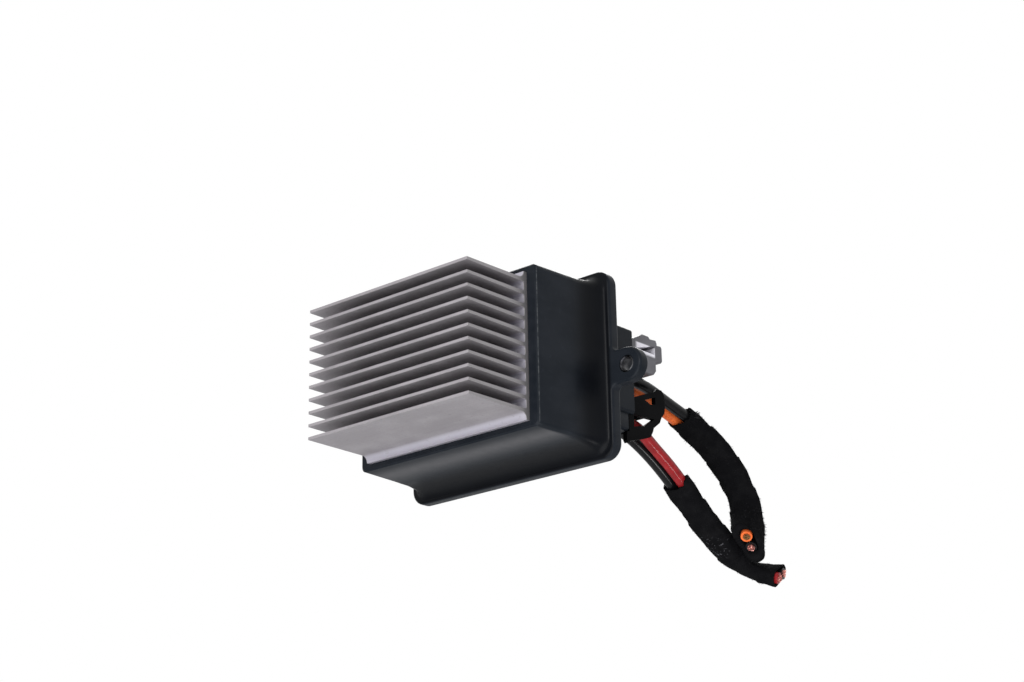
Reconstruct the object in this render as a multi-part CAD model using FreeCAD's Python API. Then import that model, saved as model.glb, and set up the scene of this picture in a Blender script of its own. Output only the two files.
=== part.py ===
import FreeCAD, Part
import math
import os

# Blower motor resistor: an aluminium heatsink in a moulded housing that bolts to an air duct by two ears,
# with the regulator board behind it, a power plug, a control plug and two taped pairs of cut wires.
# Millimetres. +Z is up, the fins look along -Y into the duct, the plugs and wires leave along +Y.
# The origin is midway between the two ear holes, on the face of the flange that seats on the duct.
# "Near" is the +X side and "far" the -X side.

V = FreeCAD.Vector

# Fits
FIT = 0.15            # moulding round a metal or plastic piece that slides in
SLOT_FIT = 0.1        # a blade, pin, terminal or screw in its hole, per side
BODY_RISE = 2.4       # centre of the box, flange and fins above the line of the ear holes

# Heatsink
FIN_COUNT = 11
FIN_MARGIN = 2.9      # middle of the lowest or highest fin to the edge of the base plate
FIN_LENGTH = 26.3
FIN_TIP = 1.0
FIN_ROOT = 1.35
FIN_FILLET = 0.55
OUTER_FILLET = 2.1    # under the lowest and over the highest fin
SINK_WIDTH = 69.4
BASE_HEIGHT = 48.8
BASE_THICK = 6.0
BASE_PROUD = 1.3      # how far the base plate stands in front of the box

# Housing
BOX_REACH = 29.7      # front of the box ahead of the flange
SIDE_WALL = 3.75
TOP_WALL = 2.05
BOX_CORNER = 1.8
BOX_DRAFT = 0.5       # widening of each wall from front to flange
LIP_ROUND = 0.5
FLARE_LENGTH = 13.0
FLARE_LIP = 3.4
FLANGE_SIDE = 5.4     # how far the flange stands out beside the box
FLANGE_TOP = 5.0      # and over and under it
FLANGE_THICK = 4.4
FLANGE_CORNER = 5.2
FLANGE_EDGE = 1.0
LEDGE = 2.0           # shoulder behind the base plate
REAR_WALL = 3.0
CAVITY_CORNER = 2.5
RIB_COUNT = 3
RIB_FIRST = 5.0       # from the far side of the box
RIB_PITCH = 12.0
RIB_THICK = 2.0
RIB_HEIGHT = 4.5

# Ears
EAR_OUT = 6.0         # ear hole beyond the side of the flange
EAR_RADIUS = 5.7
EAR_BLEND = 2.0
BUSH_OUTSIDE = 5.6
BUSH_BORE = 4.2
BUSH_CHAMFER = 0.35

# Heatsink screws
SCREW_EDGE = 3.1      # screw to the inner wall above or below it
SCREW_SHANK = 4.0
SCREW_HEAD = 6.6
SCREW_HEAD_HEIGHT = 2.4
SCREW_BITE = 3.6      # length of the screw in the base plate
BOSS_SLIM = 6.0
BOSS_STOUT = 9.0

# Board
BOARD_THICK = 1.6
BOARD_FRONT = -8.0
BOARD_GAP = 0.4
POST = 6.0

# Power transistors and their clip
CASE_WIDTH = 15.8
CASE_HEIGHT = 20.6
CASE_THICK = 5.0
CASE_SPACING = 27.0
PAD_THICK = 0.3
LEG_WIDTH = 1.2
LEG_THICK = 0.6
LEG_PITCH = 5.45
LEG_DROP = 3.2        # from the case down to the bend
LEG_STICK = 1.4       # past the back of the board
CLIP_WIDTH = 9.0
CLIP_THICK = 0.8
CLIP_FOOT = 6.4
CLIP_SCREW_SHANK = 3.0
CLIP_SCREW_HEAD = 5.6
CLIP_SCREW_BITE = 3.4

# Board components
CAN_RADIUS = 4.0
CAN_LENGTH = 11.5
CAN_X = -25.6
CAN_EDGE = 10.5       # up from the inner wall below
LEAD_RADIUS = 0.35
SHUNT_SPAN = 13.0
SHUNT_RISE = 6.0
SHUNT_WIDTH = 3.0
SHUNT_THICK = 0.8
SHUNT_X = -17.5
SHUNT_EDGE = 6.2      # down from the inner wall above
CHIP_LENGTH = 8.6
CHIP_WIDTH = 3.9
CHIP_HEIGHT = 1.5
CHIP_LEADS = 7
CHIP_LEAD_PITCH = 1.27
CHIP_X = 14.0
CHIP_EDGE = 8.0       # down from the inner wall above

# Connector body behind the flange
BLOCK_NEAR = 36.2
BLOCK_FAR = 13.2
BLOCK_TOP = 20.3
BLOCK_BOTTOM = -9.0
BLOCK_BACK = 21.5
STEP_NEAR = 35.0      # the narrower, lower part of the connector body
STEP_FAR = 17.8
STEP_BOTTOM = -14.9
STEP_BACK = 19.5
BLOCK_CORNER = 1.2
SOCKET_FLOOR = 5.0

# Power contacts: two columns of two
PLUG_X = 26.4
CONTACT_SPREAD = 3.4
UPPER_ROW = 6.2
LOWER_ROW = -9.3
BLADE_WIDTH = 4.8
BLADE_THICK = 0.8
BLADE_TIP = 15.0
BLADE_TAIL = 1.0      # in front of the board
TERMINAL_WIDTH = 2.4
TERMINAL_HEIGHT = 5.6
TERMINAL_FRONT = 8.0
TERMINAL_BACK = 20.0

# Power plug
PLUG_WIDTH = 14.0
PLUG_TOP = 9.6
PLUG_BOTTOM = -13.2
PLUG_BACK = 23.6
PLUG_ROUND = 0.7

# Control plug and its pins
CONTROL_X = 25.0
CONTROL_WIDTH = 16.0
CONTROL_BOTTOM = 10.8
CONTROL_TOP = 16.2
CONTROL_BACK = 38.3
CONTROL_ROOM = 3.0    # room for the latch over the plug's body
COVER_BOTTOM = 13.5
COVER_TOP = 20.0
COVER_BACK = 41.9
SKIRT_FRONT = 23.8
SKIRT_BOTTOM = 8.8
LATCH_THICK = 1.3
PIN_COUNT = 4
PIN_SIZE = 0.64
PIN_PITCH = 3.2
PIN_ROW = 13.4
PIN_TIP = 15.5

# Wire guide, a side plate each side of the power plug
GUIDE_THICK = 1.6
GUIDE_GAP = 0.1
GUIDE_BACK = 39.5
GUIDE_TOP = 3.1
GUIDE_ARM = 5.3       # width of the upright strip at the back
GUIDE_BAR = 1.9       # height of the sloping top bar
GUIDE_WEB_TOP = -3.1
GUIDE_WEB_BOTTOM = -8.4
GUIDE_HEEL = -10.0
GUIDE_FOOT = -19.0    # lowest point, under the connector body

# Wires and tape
WIRE_DIAMETER = 4.0
PAIR_SPREAD = 2.2     # half the distance between two wires under the tape
CORE_DIAMETER = 2.5
CORE_STICK = 0.9
TAPE_THICK = 1.4
TAPE_ROOM = 0.3       # round a wire under the tape
TAPE_SHORT = 1.0      # how far the wires stand out of the tape
TAPE_RING_COUNT = 24
UPPER_TAPE_START = 40.0   # along the pair from the terminals
LOWER_TAPE_START = 41.0

# Places worked out from the sizes above
BASE_FRONT = -(BOX_REACH + BASE_PROUD)
BASE_BACK = BASE_FRONT + BASE_THICK
FIN_TIPS = BASE_FRONT - FIN_LENGTH
FIN_PITCH = (BASE_HEIGHT - 2 * FIN_MARGIN) / (FIN_COUNT - 1)
BOX_WIDTH = SINK_WIDTH + 2 * (FIT + SIDE_WALL)
BOX_HEIGHT = BASE_HEIGHT + 2 * (FIT + TOP_WALL)
FLANGE_WIDTH = BOX_WIDTH + 2 * FLANGE_SIDE
FLANGE_HEIGHT = BOX_HEIGHT + 2 * FLANGE_TOP
EAR_SPAN = FLANGE_WIDTH + 2 * EAR_OUT
CAVITY_WIDTH = SINK_WIDTH - 2 * LEDGE
CAVITY_HEIGHT = BASE_HEIGHT - 2 * LEDGE
CAVITY_BACK = FLANGE_THICK - REAR_WALL
CAVITY_BOTTOM = BODY_RISE - CAVITY_HEIGHT / 2
CAVITY_TOP = BODY_RISE + CAVITY_HEIGHT / 2
BOARD_BACK = BOARD_FRONT + BOARD_THICK
SCREW_HEIGHTS = (CAVITY_BOTTOM + SCREW_EDGE, CAVITY_TOP - SCREW_EDGE)
CAN_Z = CAVITY_BOTTOM + CAN_EDGE
SHUNT_Z = CAVITY_TOP - SHUNT_EDGE
CHIP_Z = CAVITY_TOP - CHIP_EDGE
SCREW_SEAT = FLANGE_THICK - SCREW_HEAD_HEIGHT - 0.2
CASE_FRONT = BASE_BACK + PAD_THICK
CASE_BACK = CASE_FRONT + CASE_THICK
CASE_Z = BODY_RISE + 1.0
CONTACTS = [
    (PLUG_X - CONTACT_SPREAD, UPPER_ROW),
    (PLUG_X + CONTACT_SPREAD, UPPER_ROW),
    (PLUG_X - CONTACT_SPREAD, LOWER_ROW),
    (PLUG_X + CONTACT_SPREAD, LOWER_ROW),
]


def save(shape, name):
    """Write one piece to its own file."""
    shape.exportStep("parts/" + name + ".step")
    print(name, "solids", len(shape.Solids), "volume", round(shape.Volume, 2), "valid", shape.isValid())


def block(x0, x1, y0, y1, z0, z1):
    """A plain box between two corners."""
    return Part.makeBox(x1 - x0, y1 - y0, z1 - z0, V(x0, y0, z0))


def rod(radius, start, end):
    """A round bar between two points."""
    axis = end - start
    return Part.makeCylinder(radius, axis.Length, start, axis)


def rounded_outline(x0, x1, z0, z1, corner, y):
    """A rectangle with rounded corners, standing in the plane at y."""
    r = corner
    s = r * (1 - math.sqrt(0.5))
    corners = [
        (V(x0 + r, y, z0), V(x1 - r, y, z0), V(x1 - s, y, z0 + s), V(x1, y, z0 + r)),
        (V(x1, y, z0 + r), V(x1, y, z1 - r), V(x1 - s, y, z1 - s), V(x1 - r, y, z1)),
        (V(x1 - r, y, z1), V(x0 + r, y, z1), V(x0 + s, y, z1 - s), V(x0, y, z1 - r)),
        (V(x0, y, z1 - r), V(x0, y, z0 + r), V(x0 + s, y, z0 + s), V(x0 + r, y, z0)),
    ]
    edges = []
    for side_start, side_end, middle, turn_end in corners:
        edges.append(Part.LineSegment(side_start, side_end).toShape())
        edges.append(Part.Arc(side_end, middle, turn_end).toShape())
    return Part.Wire(edges)


def centred_outline(width, height, corner, y):
    """A rounded rectangle about the centre line of the box."""
    return rounded_outline(-width / 2, width / 2, BODY_RISE - height / 2, BODY_RISE + height / 2, corner, y)


def prism(outline, depth):
    """A solid that carries an outline along +Y."""
    return Part.Face(outline).extrude(V(0, depth, 0))


def revolved(points, centre):
    """A solid turned about a line along Y through centre; points are (radius, y)."""
    path = [V(centre.x + radius, centre.y + y, centre.z) for radius, y in points]
    face = Part.Face(Part.makePolygon(path + [path[0]]))
    return face.revolve(centre, V(0, 1, 0), 360)


def side_profile(points, x0, x1):
    """A solid with a straight-sided outline in the Y-Z plane, from x0 to x1; points are (y, z)."""
    path = [V(x0, y, z) for y, z in points]
    return Part.Face(Part.makePolygon(path + [path[0]])).extrude(V(x1 - x0, 0, 0))


def capsule(start, end, width, x0, x1):
    """A bar with round ends in the Y-Z plane, from x0 to x1; start and end are (y, z)."""
    along = V(0, end[0] - start[0], end[1] - start[1])
    side = V(1, 0, 0).cross(along).normalize() * (width / 2)
    tip = along.normalize() * (width / 2)
    a, b = V(x0, *start), V(x0, *end)
    edges = [
        Part.LineSegment(a + side, b + side).toShape(),
        Part.Arc(b + side, b + tip, b - side).toShape(),
        Part.LineSegment(b - side, a - side).toShape(),
        Part.Arc(a - side, a - tip, a + side).toShape(),
    ]
    return Part.Face(Part.Wire(edges)).extrude(V(x1 - x0, 0, 0))


def heatsink():
    """Extruded fins and base plate, with blind holes for the screws in its back."""
    root, tip, blend = FIN_ROOT / 2, FIN_TIP / 2, FIN_FILLET
    slant = blend * math.sqrt(0.5)
    big = OUTER_FILLET
    bottom = BODY_RISE - BASE_HEIGHT / 2
    top = BODY_RISE + BASE_HEIGHT / 2
    middles = [BODY_RISE + (i - (FIN_COUNT - 1) / 2) * FIN_PITCH for i in range(FIN_COUNT)]

    def at(y, z):
        return V(-SINK_WIDTH / 2, y, z)

    def line(a, b):
        return Part.LineSegment(a, b).toShape()

    first, last = middles[0] - root, middles[-1] + root
    edges = [line(at(BASE_BACK, bottom), at(BASE_FRONT, bottom))]
    edges.append(line(at(BASE_FRONT, bottom), at(BASE_FRONT, first - big)))
    turn = big * math.sqrt(0.5)
    edges.append(Part.Arc(at(BASE_FRONT, first - big), at(BASE_FRONT - big + turn, first - big + turn),
                          at(BASE_FRONT - big, first)).toShape())
    start = at(BASE_FRONT - big, first)
    for i, z in enumerate(middles):
        edges.append(line(start, at(FIN_TIPS, z - tip)))
        edges.append(line(at(FIN_TIPS, z - tip), at(FIN_TIPS, z + tip)))
        if i == FIN_COUNT - 1:
            edges.append(line(at(FIN_TIPS, z + tip), at(BASE_FRONT - big, last)))
            break
        floor_start = z + root + blend
        floor_end = middles[i + 1] - root - blend
        edges.append(line(at(FIN_TIPS, z + tip), at(BASE_FRONT - blend, z + root)))
        edges.append(Part.Arc(at(BASE_FRONT - blend, z + root),
                              at(BASE_FRONT - blend + slant, floor_start - slant),
                              at(BASE_FRONT, floor_start)).toShape())
        edges.append(line(at(BASE_FRONT, floor_start), at(BASE_FRONT, floor_end)))
        edges.append(Part.Arc(at(BASE_FRONT, floor_end),
                              at(BASE_FRONT - blend + slant, floor_end + slant),
                              at(BASE_FRONT - blend, middles[i + 1] - root)).toShape())
        start = at(BASE_FRONT - blend, middles[i + 1] - root)
    edges.append(Part.Arc(at(BASE_FRONT - big, last), at(BASE_FRONT - big + turn, last + big - turn),
                          at(BASE_FRONT, last + big)).toShape())
    edges.append(line(at(BASE_FRONT, last + big), at(BASE_FRONT, top)))
    edges.append(line(at(BASE_FRONT, top), at(BASE_BACK, top)))
    edges.append(line(at(BASE_BACK, top), at(BASE_BACK, bottom)))
    sink = Part.Face(Part.Wire(edges)).extrude(V(SINK_WIDTH, 0, 0))

    holes = [(0, z, SCREW_SHANK, SCREW_BITE) for z in SCREW_HEIGHTS]
    holes.append((0, CASE_Z, CLIP_SCREW_SHANK, CLIP_SCREW_BITE))
    for x, z, shank, bite in holes:
        depth = bite + 2 * SLOT_FIT
        sink = sink.cut(rod(shank / 2 + SLOT_FIT, V(x, BASE_BACK - depth, z), V(x, BASE_BACK, z)))
    return sink


def heatsink_screw(z):
    """A pan-head screw from the back of the housing into the base plate."""
    head, shank = SCREW_HEAD / 2, SCREW_SHANK / 2
    tip = BASE_BACK - SCREW_BITE
    points = [
        (0, tip), (shank - 0.5, tip), (shank, tip + 0.5), (shank, SCREW_SEAT), (head, SCREW_SEAT),
        (head, SCREW_SEAT + SCREW_HEAD_HEIGHT * 0.55), (head * 0.75, SCREW_SEAT + SCREW_HEAD_HEIGHT),
        (0, SCREW_SEAT + SCREW_HEAD_HEIGHT),
    ]
    return revolved(points, V(0, 0, z))


def box_skin():
    """Outside of the box: rounded front lip, drafted walls and a flare that runs into the flange."""
    def section(y, grow):
        return centred_outline(BOX_WIDTH + 2 * grow, BOX_HEIGHT + 2 * grow, BOX_CORNER + max(grow, 0), y)

    front = -BOX_REACH
    lip = Part.makeLoft([section(front, -LIP_ROUND), section(front + LIP_ROUND, 0)], True, True)
    flare_start = -FLARE_LENGTH
    walls = Part.makeLoft([section(front + LIP_ROUND, 0), section(flare_start, BOX_DRAFT)], True, True)
    steps = (0, 0.3, 0.55, 0.75, 0.9, 1.0)
    rings = []
    for t in steps:
        spread = FLARE_LIP * (1 - math.sqrt(1 - t * t))
        rings.append(section(flare_start * (1 - t), BOX_DRAFT + spread))
    flare = Part.makeLoft(rings, True, False)
    return lip.fuse([walls, flare])


def flange():
    """The flange with its two ears, edges rounded front and back."""
    outline = centred_outline(FLANGE_WIDTH, FLANGE_HEIGHT, FLANGE_CORNER, 0)
    plate = prism(outline, FLANGE_THICK)
    reach = EAR_SPAN / 2
    for side in (-1, 1):
        ear = rod(EAR_RADIUS, V(side * reach, 0, 0), V(side * reach, FLANGE_THICK, 0))
        root = FLANGE_WIDTH / 2 - FLANGE_CORNER
        x0, x1 = sorted((side * root, side * reach))
        plate = plate.fuse([ear, block(x0, x1, 0, FLANGE_THICK, -EAR_RADIUS, EAR_RADIUS)])
    plate = plate.removeSplitter()
    creases = [e for e in plate.Edges if is_ear_crease(e)]
    plate = plate.makeFillet(EAR_BLEND, creases)
    rims = [e for e in plate.Edges if e.BoundBox.YLength < 0.01]
    return plate.makeFillet(FLANGE_EDGE, rims)


def is_ear_crease(edge):
    """True for the upright edges where an ear meets the side of the flange."""
    box = edge.BoundBox
    at_side = abs(abs(box.Center.x) - FLANGE_WIDTH / 2) < 0.01
    at_ear = abs(abs(box.Center.z) - EAR_RADIUS) < 0.01
    return at_side and at_ear and box.YLength > FLANGE_THICK / 2


def connector_body():
    """The block behind the flange that holds both sockets, with its narrower lower step."""
    upper = rounded_outline(BLOCK_FAR, BLOCK_NEAR, BLOCK_BOTTOM, BLOCK_TOP, BLOCK_CORNER, CAVITY_BACK)
    lower = rounded_outline(STEP_FAR, STEP_NEAR, STEP_BOTTOM, BLOCK_BOTTOM + 2 * BLOCK_CORNER, BLOCK_CORNER,
                            CAVITY_BACK)
    return prism(upper, BLOCK_BACK - CAVITY_BACK).fuse(prism(lower, STEP_BACK - CAVITY_BACK))


def power_socket():
    half = PLUG_WIDTH / 2 + FIT
    return block(PLUG_X - half, PLUG_X + half, SOCKET_FLOOR, BLOCK_BACK + 1, PLUG_BOTTOM - FIT,
                 PLUG_TOP + FIT)


def control_socket():
    half = CONTROL_WIDTH / 2 + FIT
    return block(CONTROL_X - half, CONTROL_X + half, SOCKET_FLOOR, BLOCK_BACK + 1, CONTROL_BOTTOM - FIT,
                 CONTROL_TOP + CONTROL_ROOM)


def back_ribs():
    """Stiffening ribs on the far side of the flange's back."""
    half_w, half_h = BOX_WIDTH / 2, BOX_HEIGHT / 2
    y0, y1 = FLANGE_THICK - 1, FLANGE_THICK + RIB_HEIGHT
    ribs = [block(-half_w, BLOCK_FAR + 1, y0, y1, BODY_RISE - RIB_THICK / 2, BODY_RISE + RIB_THICK / 2)]
    for i in range(RIB_COUNT):
        x = -half_w + RIB_FIRST + i * RIB_PITCH
        ribs.append(block(x, x + RIB_THICK, y0, y1, BODY_RISE - half_h, BODY_RISE + half_h))
    return ribs


def inner_posts():
    """Corner posts and screw bosses: the board rests on them, the slim boss ends reach the base plate."""
    half, back = CAVITY_WIDTH / 2, CAVITY_BACK + 1
    corners = [
        (-half - 1, -half + POST, CAVITY_BOTTOM - 1, CAVITY_BOTTOM + POST),
        (-half - 1, -half + POST, CAVITY_TOP - POST, CAVITY_TOP + 1),
        (half - POST, half + 1, CAVITY_TOP - POST, CAVITY_TOP + 1),
    ]
    posts = [block(x0, x1, BOARD_BACK, back, z0, z1) for x0, x1, z0, z1 in corners]
    for z in SCREW_HEIGHTS:
        posts.append(rod(BOSS_STOUT / 2, V(0, BOARD_BACK, z), V(0, back, z)))
        posts.append(rod(BOSS_SLIM / 2, V(0, BASE_BACK, z), V(0, BOARD_BACK + 1, z)))
    return posts


def housing():
    """The one-piece moulding: box, flange, ears, connector body, ribs and inner posts."""
    body = box_skin().fuse([flange(), connector_body()] + back_ribs())
    pocket = centred_outline(SINK_WIDTH + 2 * FIT, BASE_HEIGHT + 2 * FIT, FIT + 0.2, -BOX_REACH - 1)
    body = body.cut(prism(pocket, BASE_BACK + BOX_REACH + 1))
    cavity = centred_outline(CAVITY_WIDTH, CAVITY_HEIGHT, CAVITY_CORNER, BASE_BACK - 1)
    body = body.cut(prism(cavity, CAVITY_BACK - BASE_BACK + 1))
    body = body.fuse(inner_posts())
    cuts = [power_socket(), control_socket()]
    for z in SCREW_HEIGHTS:
        cuts.append(rod(SCREW_SHANK / 2 + SLOT_FIT, V(0, BASE_BACK - 1, z), V(0, FLANGE_THICK, z)))
        cuts.append(rod(SCREW_HEAD / 2 + FIT, V(0, SCREW_SEAT, z), V(0, FLANGE_THICK + 1, z)))
    for side in (-1, 1):
        x = side * EAR_SPAN / 2
        cuts.append(rod(BUSH_OUTSIDE / 2 + SLOT_FIT / 2, V(x, -1, 0), V(x, FLANGE_THICK + 1, 0)))
    for x, z in CONTACTS:
        cuts.append(upright_slot(x, z, BLADE_THICK, BLADE_WIDTH, CAVITY_BACK - 1, SOCKET_FLOOR + 1))
    for x in pin_places():
        cuts.append(upright_slot(x, PIN_ROW, PIN_SIZE, PIN_SIZE, CAVITY_BACK - 1, SOCKET_FLOOR + 1))
    return body.cut(cuts).removeSplitter()


def upright_slot(x, z, thick, width, y0, y1):
    """A hole for a blade or pin, with its fit all round."""
    half_x, half_z = thick / 2 + SLOT_FIT, width / 2 + SLOT_FIT
    return block(x - half_x, x + half_x, y0, y1, z - half_z, z + half_z)


def ear_bush(x):
    """A metal sleeve that keeps the mounting screw from crushing the ear."""
    outside, bore, cut = BUSH_OUTSIDE / 2, BUSH_BORE / 2, BUSH_CHAMFER
    points = [
        (bore, cut), (bore + cut, 0), (outside - cut, 0), (outside, cut),
        (outside, FLANGE_THICK - cut), (outside - cut, FLANGE_THICK), (bore + cut, FLANGE_THICK),
        (bore, FLANGE_THICK - cut),
    ]
    return revolved(points, V(x, 0, 0))


def pin_places():
    return [CONTROL_X + (i - (PIN_COUNT - 1) / 2) * PIN_PITCH for i in range(PIN_COUNT)]


def leg_places(case_x):
    return [case_x + (i - 1) * LEG_PITCH for i in range(3)]


def leg_height():
    return CASE_Z - CASE_HEIGHT / 2 - LEG_DROP


def circuit_board():
    """The board, notched round the screw bosses and drilled for what is soldered through it."""
    width, height = CAVITY_WIDTH - 2 * BOARD_GAP, CAVITY_HEIGHT - 2 * BOARD_GAP
    board = prism(centred_outline(width, height, CAVITY_CORNER, BOARD_FRONT), BOARD_THICK)
    y0, y1 = BOARD_FRONT - 1, BOARD_BACK + 1
    cuts = []
    for z in SCREW_HEIGHTS:
        cuts.append(rod(BOSS_SLIM / 2 + FIT, V(0, y0, z), V(0, y1, z)))
    for x, z in CONTACTS:
        cuts.append(upright_slot(x, z, BLADE_THICK, BLADE_WIDTH, y0, y1))
    for x in pin_places():
        cuts.append(upright_slot(x, PIN_ROW, PIN_SIZE, PIN_SIZE, y0, y1))
    for case_x in (-CASE_SPACING / 2, CASE_SPACING / 2):
        for x in leg_places(case_x):
            cuts.append(upright_slot(x, leg_height(), LEG_WIDTH, LEG_THICK, y0, y1))
    for x, z in can_leads():
        cuts.append(rod(LEAD_RADIUS + SLOT_FIT, V(x, y0, z), V(x, y1, z)))
    for x in (SHUNT_X - SHUNT_SPAN / 2, SHUNT_X + SHUNT_SPAN / 2):
        cuts.append(upright_slot(x, SHUNT_Z, SHUNT_THICK, SHUNT_WIDTH, y0, y1))
    return board.cut(cuts)


def transistor(x):
    """A flat power package with three legs bent back through the board."""
    z0, z1 = CASE_Z - CASE_HEIGHT / 2, CASE_Z + CASE_HEIGHT / 2
    left, right = x - CASE_WIDTH / 2, x + CASE_WIDTH / 2
    case = rounded_outline(left, right, z0, z1, 0.8, CASE_FRONT)
    body = prism(case, CASE_THICK)
    back_edges = [e for e in body.Edges if e.BoundBox.YMin > CASE_BACK - 0.01]
    body = body.makeChamfer(0.5, back_edges)
    body = body.cut(rod(1.7, V(x, CASE_FRONT - 1, z1 - 5), V(x, CASE_BACK + 1, z1 - 5)))
    middle, half = CASE_FRONT + CASE_THICK / 2, LEG_THICK / 2
    drop = leg_height()
    end = BOARD_BACK + LEG_STICK
    outer = V(0, middle - half, drop - half)
    legs = []
    for leg_x in leg_places(x):
        points = [
            (middle - half, z0 + 1), (middle - half, outer.z), (end, outer.z), (end, drop + half),
            (middle + half, drop + half), (middle + half, z0 + 1),
        ]
        leg = side_profile(points, leg_x - LEG_WIDTH / 2, leg_x + LEG_WIDTH / 2)
        corner = [e for e in leg.Edges if e.BoundBox.XLength > 0.5
                  and abs(e.BoundBox.YMin - outer.y) < 0.01 and abs(e.BoundBox.ZMin - outer.z) < 0.01]
        legs.append(leg.makeFillet(LEG_THICK * 0.9, corner))
    return body.fuse(legs)


def thermal_pad(x):
    """The thin insulating pad between a package and the base plate."""
    margin = 0.6
    left, right = x - CASE_WIDTH / 2 - margin, x + CASE_WIDTH / 2 + margin
    z0, z1 = CASE_Z - CASE_HEIGHT / 2 - margin, CASE_Z + CASE_HEIGHT / 2 + margin
    return block(left, right, BASE_BACK, CASE_FRONT, z0, z1)


def transistor_clip():
    """A spring strip screwed to the base plate between the packages, pressing on both."""
    foot, rise = CLIP_FOOT / 2, 1.4
    arm = CASE_SPACING / 2 + 1
    low, high, t = BASE_BACK, CASE_BACK, CLIP_THICK
    bend = foot + rise
    points = [
        (-arm - 1, high + 1.2), (-arm, high), (-bend, high), (-foot, low), (foot, low), (bend, high),
        (arm, high), (arm + 1, high + 1.2), (arm + 1, high + 1.2 + t), (arm - 0.3, high + t),
        (bend - t * 0.8, high + t), (foot - t * 0.8, low + t), (-foot + t * 0.8, low + t),
        (-bend + t * 0.8, high + t), (-arm + 0.3, high + t), (-arm - 1, high + 1.2 + t),
    ]
    z0 = CASE_Z - CLIP_WIDTH / 2
    path = [V(x, y, z0) for x, y in points]
    strip = Part.Face(Part.makePolygon(path + [path[0]])).extrude(V(0, 0, CLIP_WIDTH))
    hole = rod(CLIP_SCREW_SHANK / 2 + SLOT_FIT, V(0, low - 1, CASE_Z), V(0, low + 2 * t, CASE_Z))
    return strip.cut(hole)


def clip_screw():
    """The short screw that holds the clip."""
    seat, head, shank = BASE_BACK + CLIP_THICK, CLIP_SCREW_HEAD / 2 * 0.82, CLIP_SCREW_SHANK / 2
    tip = BASE_BACK - CLIP_SCREW_BITE
    points = [
        (0, tip), (shank - 0.4, tip), (shank, tip + 0.4), (shank, seat), (head, seat),
        (head, seat + 1.2), (head * 0.7, seat + 2.0), (0, seat + 2.0),
    ]
    return revolved(points, V(0, 0, CASE_Z))


def can_leads():
    return [(CAN_X - 1.75, CAN_Z), (CAN_X + 1.75, CAN_Z)]


def capacitor():
    """An electrolytic can with its crimp groove, standing on the front of the board."""
    r, base = CAN_RADIUS, BOARD_FRONT
    top = base - CAN_LENGTH
    points = [
        (0, base), (r - 0.3, base), (r, base - 0.4), (r, base - 1.6), (r - 0.45, base - 2.1),
        (r, base - 2.6), (r, top + 0.5), (r - 0.5, top), (0, top),
    ]
    can = revolved(points, V(CAN_X, 0, CAN_Z))
    leads = [rod(LEAD_RADIUS, V(x, base - 1, z), V(x, BOARD_BACK + LEG_STICK, z)) for x, z in can_leads()]
    return can.fuse(leads)


def shunt():
    """A bent metal strip that senses the current."""
    half, t, rise = SHUNT_SPAN / 2, SHUNT_THICK / 2, SHUNT_RISE
    end, top = BOARD_BACK + LEG_STICK, BOARD_FRONT - rise
    bend = 2.0
    inner, outer = bend - t, bend + t
    s = math.sqrt(0.5)
    left, right = SHUNT_X - half, SHUNT_X + half
    z = SHUNT_Z - SHUNT_WIDTH / 2

    def at(x, y):
        return V(x, y, z)

    edges = [
        Part.LineSegment(at(left - t, end), at(left - t, top + bend)).toShape(),
        Part.Arc(at(left - t, top + bend), at(left + bend - outer * s, top + bend - outer * s),
                 at(left + bend, top - t)).toShape(),
        Part.LineSegment(at(left + bend, top - t), at(right - bend, top - t)).toShape(),
        Part.Arc(at(right - bend, top - t), at(right - bend + outer * s, top + bend - outer * s),
                 at(right + t, top + bend)).toShape(),
        Part.LineSegment(at(right + t, top + bend), at(right + t, end)).toShape(),
        Part.LineSegment(at(right + t, end), at(right - t, end)).toShape(),
        Part.LineSegment(at(right - t, end), at(right - t, top + bend)).toShape(),
        Part.Arc(at(right - t, top + bend), at(right - bend + inner * s, top + bend - inner * s),
                 at(right - bend, top + t)).toShape(),
        Part.LineSegment(at(right - bend, top + t), at(left + bend, top + t)).toShape(),
        Part.Arc(at(left + bend, top + t), at(left + bend - inner * s, top + bend - inner * s),
                 at(left + t, top + bend)).toShape(),
        Part.LineSegment(at(left + t, top + bend), at(left + t, end)).toShape(),
        Part.LineSegment(at(left + t, end), at(left - t, end)).toShape(),
    ]
    return Part.Face(Part.Wire(edges)).extrude(V(0, 0, SHUNT_WIDTH))


def control_chip():
    """A small surface-mounted chip with two rows of bent leads."""
    half_l, half_w = CHIP_LENGTH / 2, CHIP_WIDTH / 2
    stand = 0.15
    under = BOARD_FRONT - stand
    body = block(CHIP_X - half_l, CHIP_X + half_l, under - CHIP_HEIGHT, under, CHIP_Z - half_w,
                 CHIP_Z + half_w)
    body = body.makeChamfer(0.3, [e for e in body.Edges if e.BoundBox.YMax < under - CHIP_HEIGHT + 0.01])
    middle = under - CHIP_HEIGHT / 2
    width, t = 0.42, 0.2
    leads = []
    for i in range(CHIP_LEADS):
        x = CHIP_X + (i - (CHIP_LEADS - 1) / 2) * CHIP_LEAD_PITCH
        for side in (-1, 1):
            out = CHIP_Z + side * (half_w - 0.3)
            knee = CHIP_Z + side * (half_w + 0.5)
            toe = CHIP_Z + side * (half_w + 1.2)
            points = [
                (middle - t / 2, out), (middle - t / 2, knee + side * t), (BOARD_FRONT - t, knee + side * t),
                (BOARD_FRONT - t, toe), (BOARD_FRONT, toe), (BOARD_FRONT, knee), (middle + t / 2, knee),
                (middle + t / 2, out),
            ]
            leads.append(side_profile(points, x - width / 2, x + width / 2))
    return body.fuse(leads)


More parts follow.
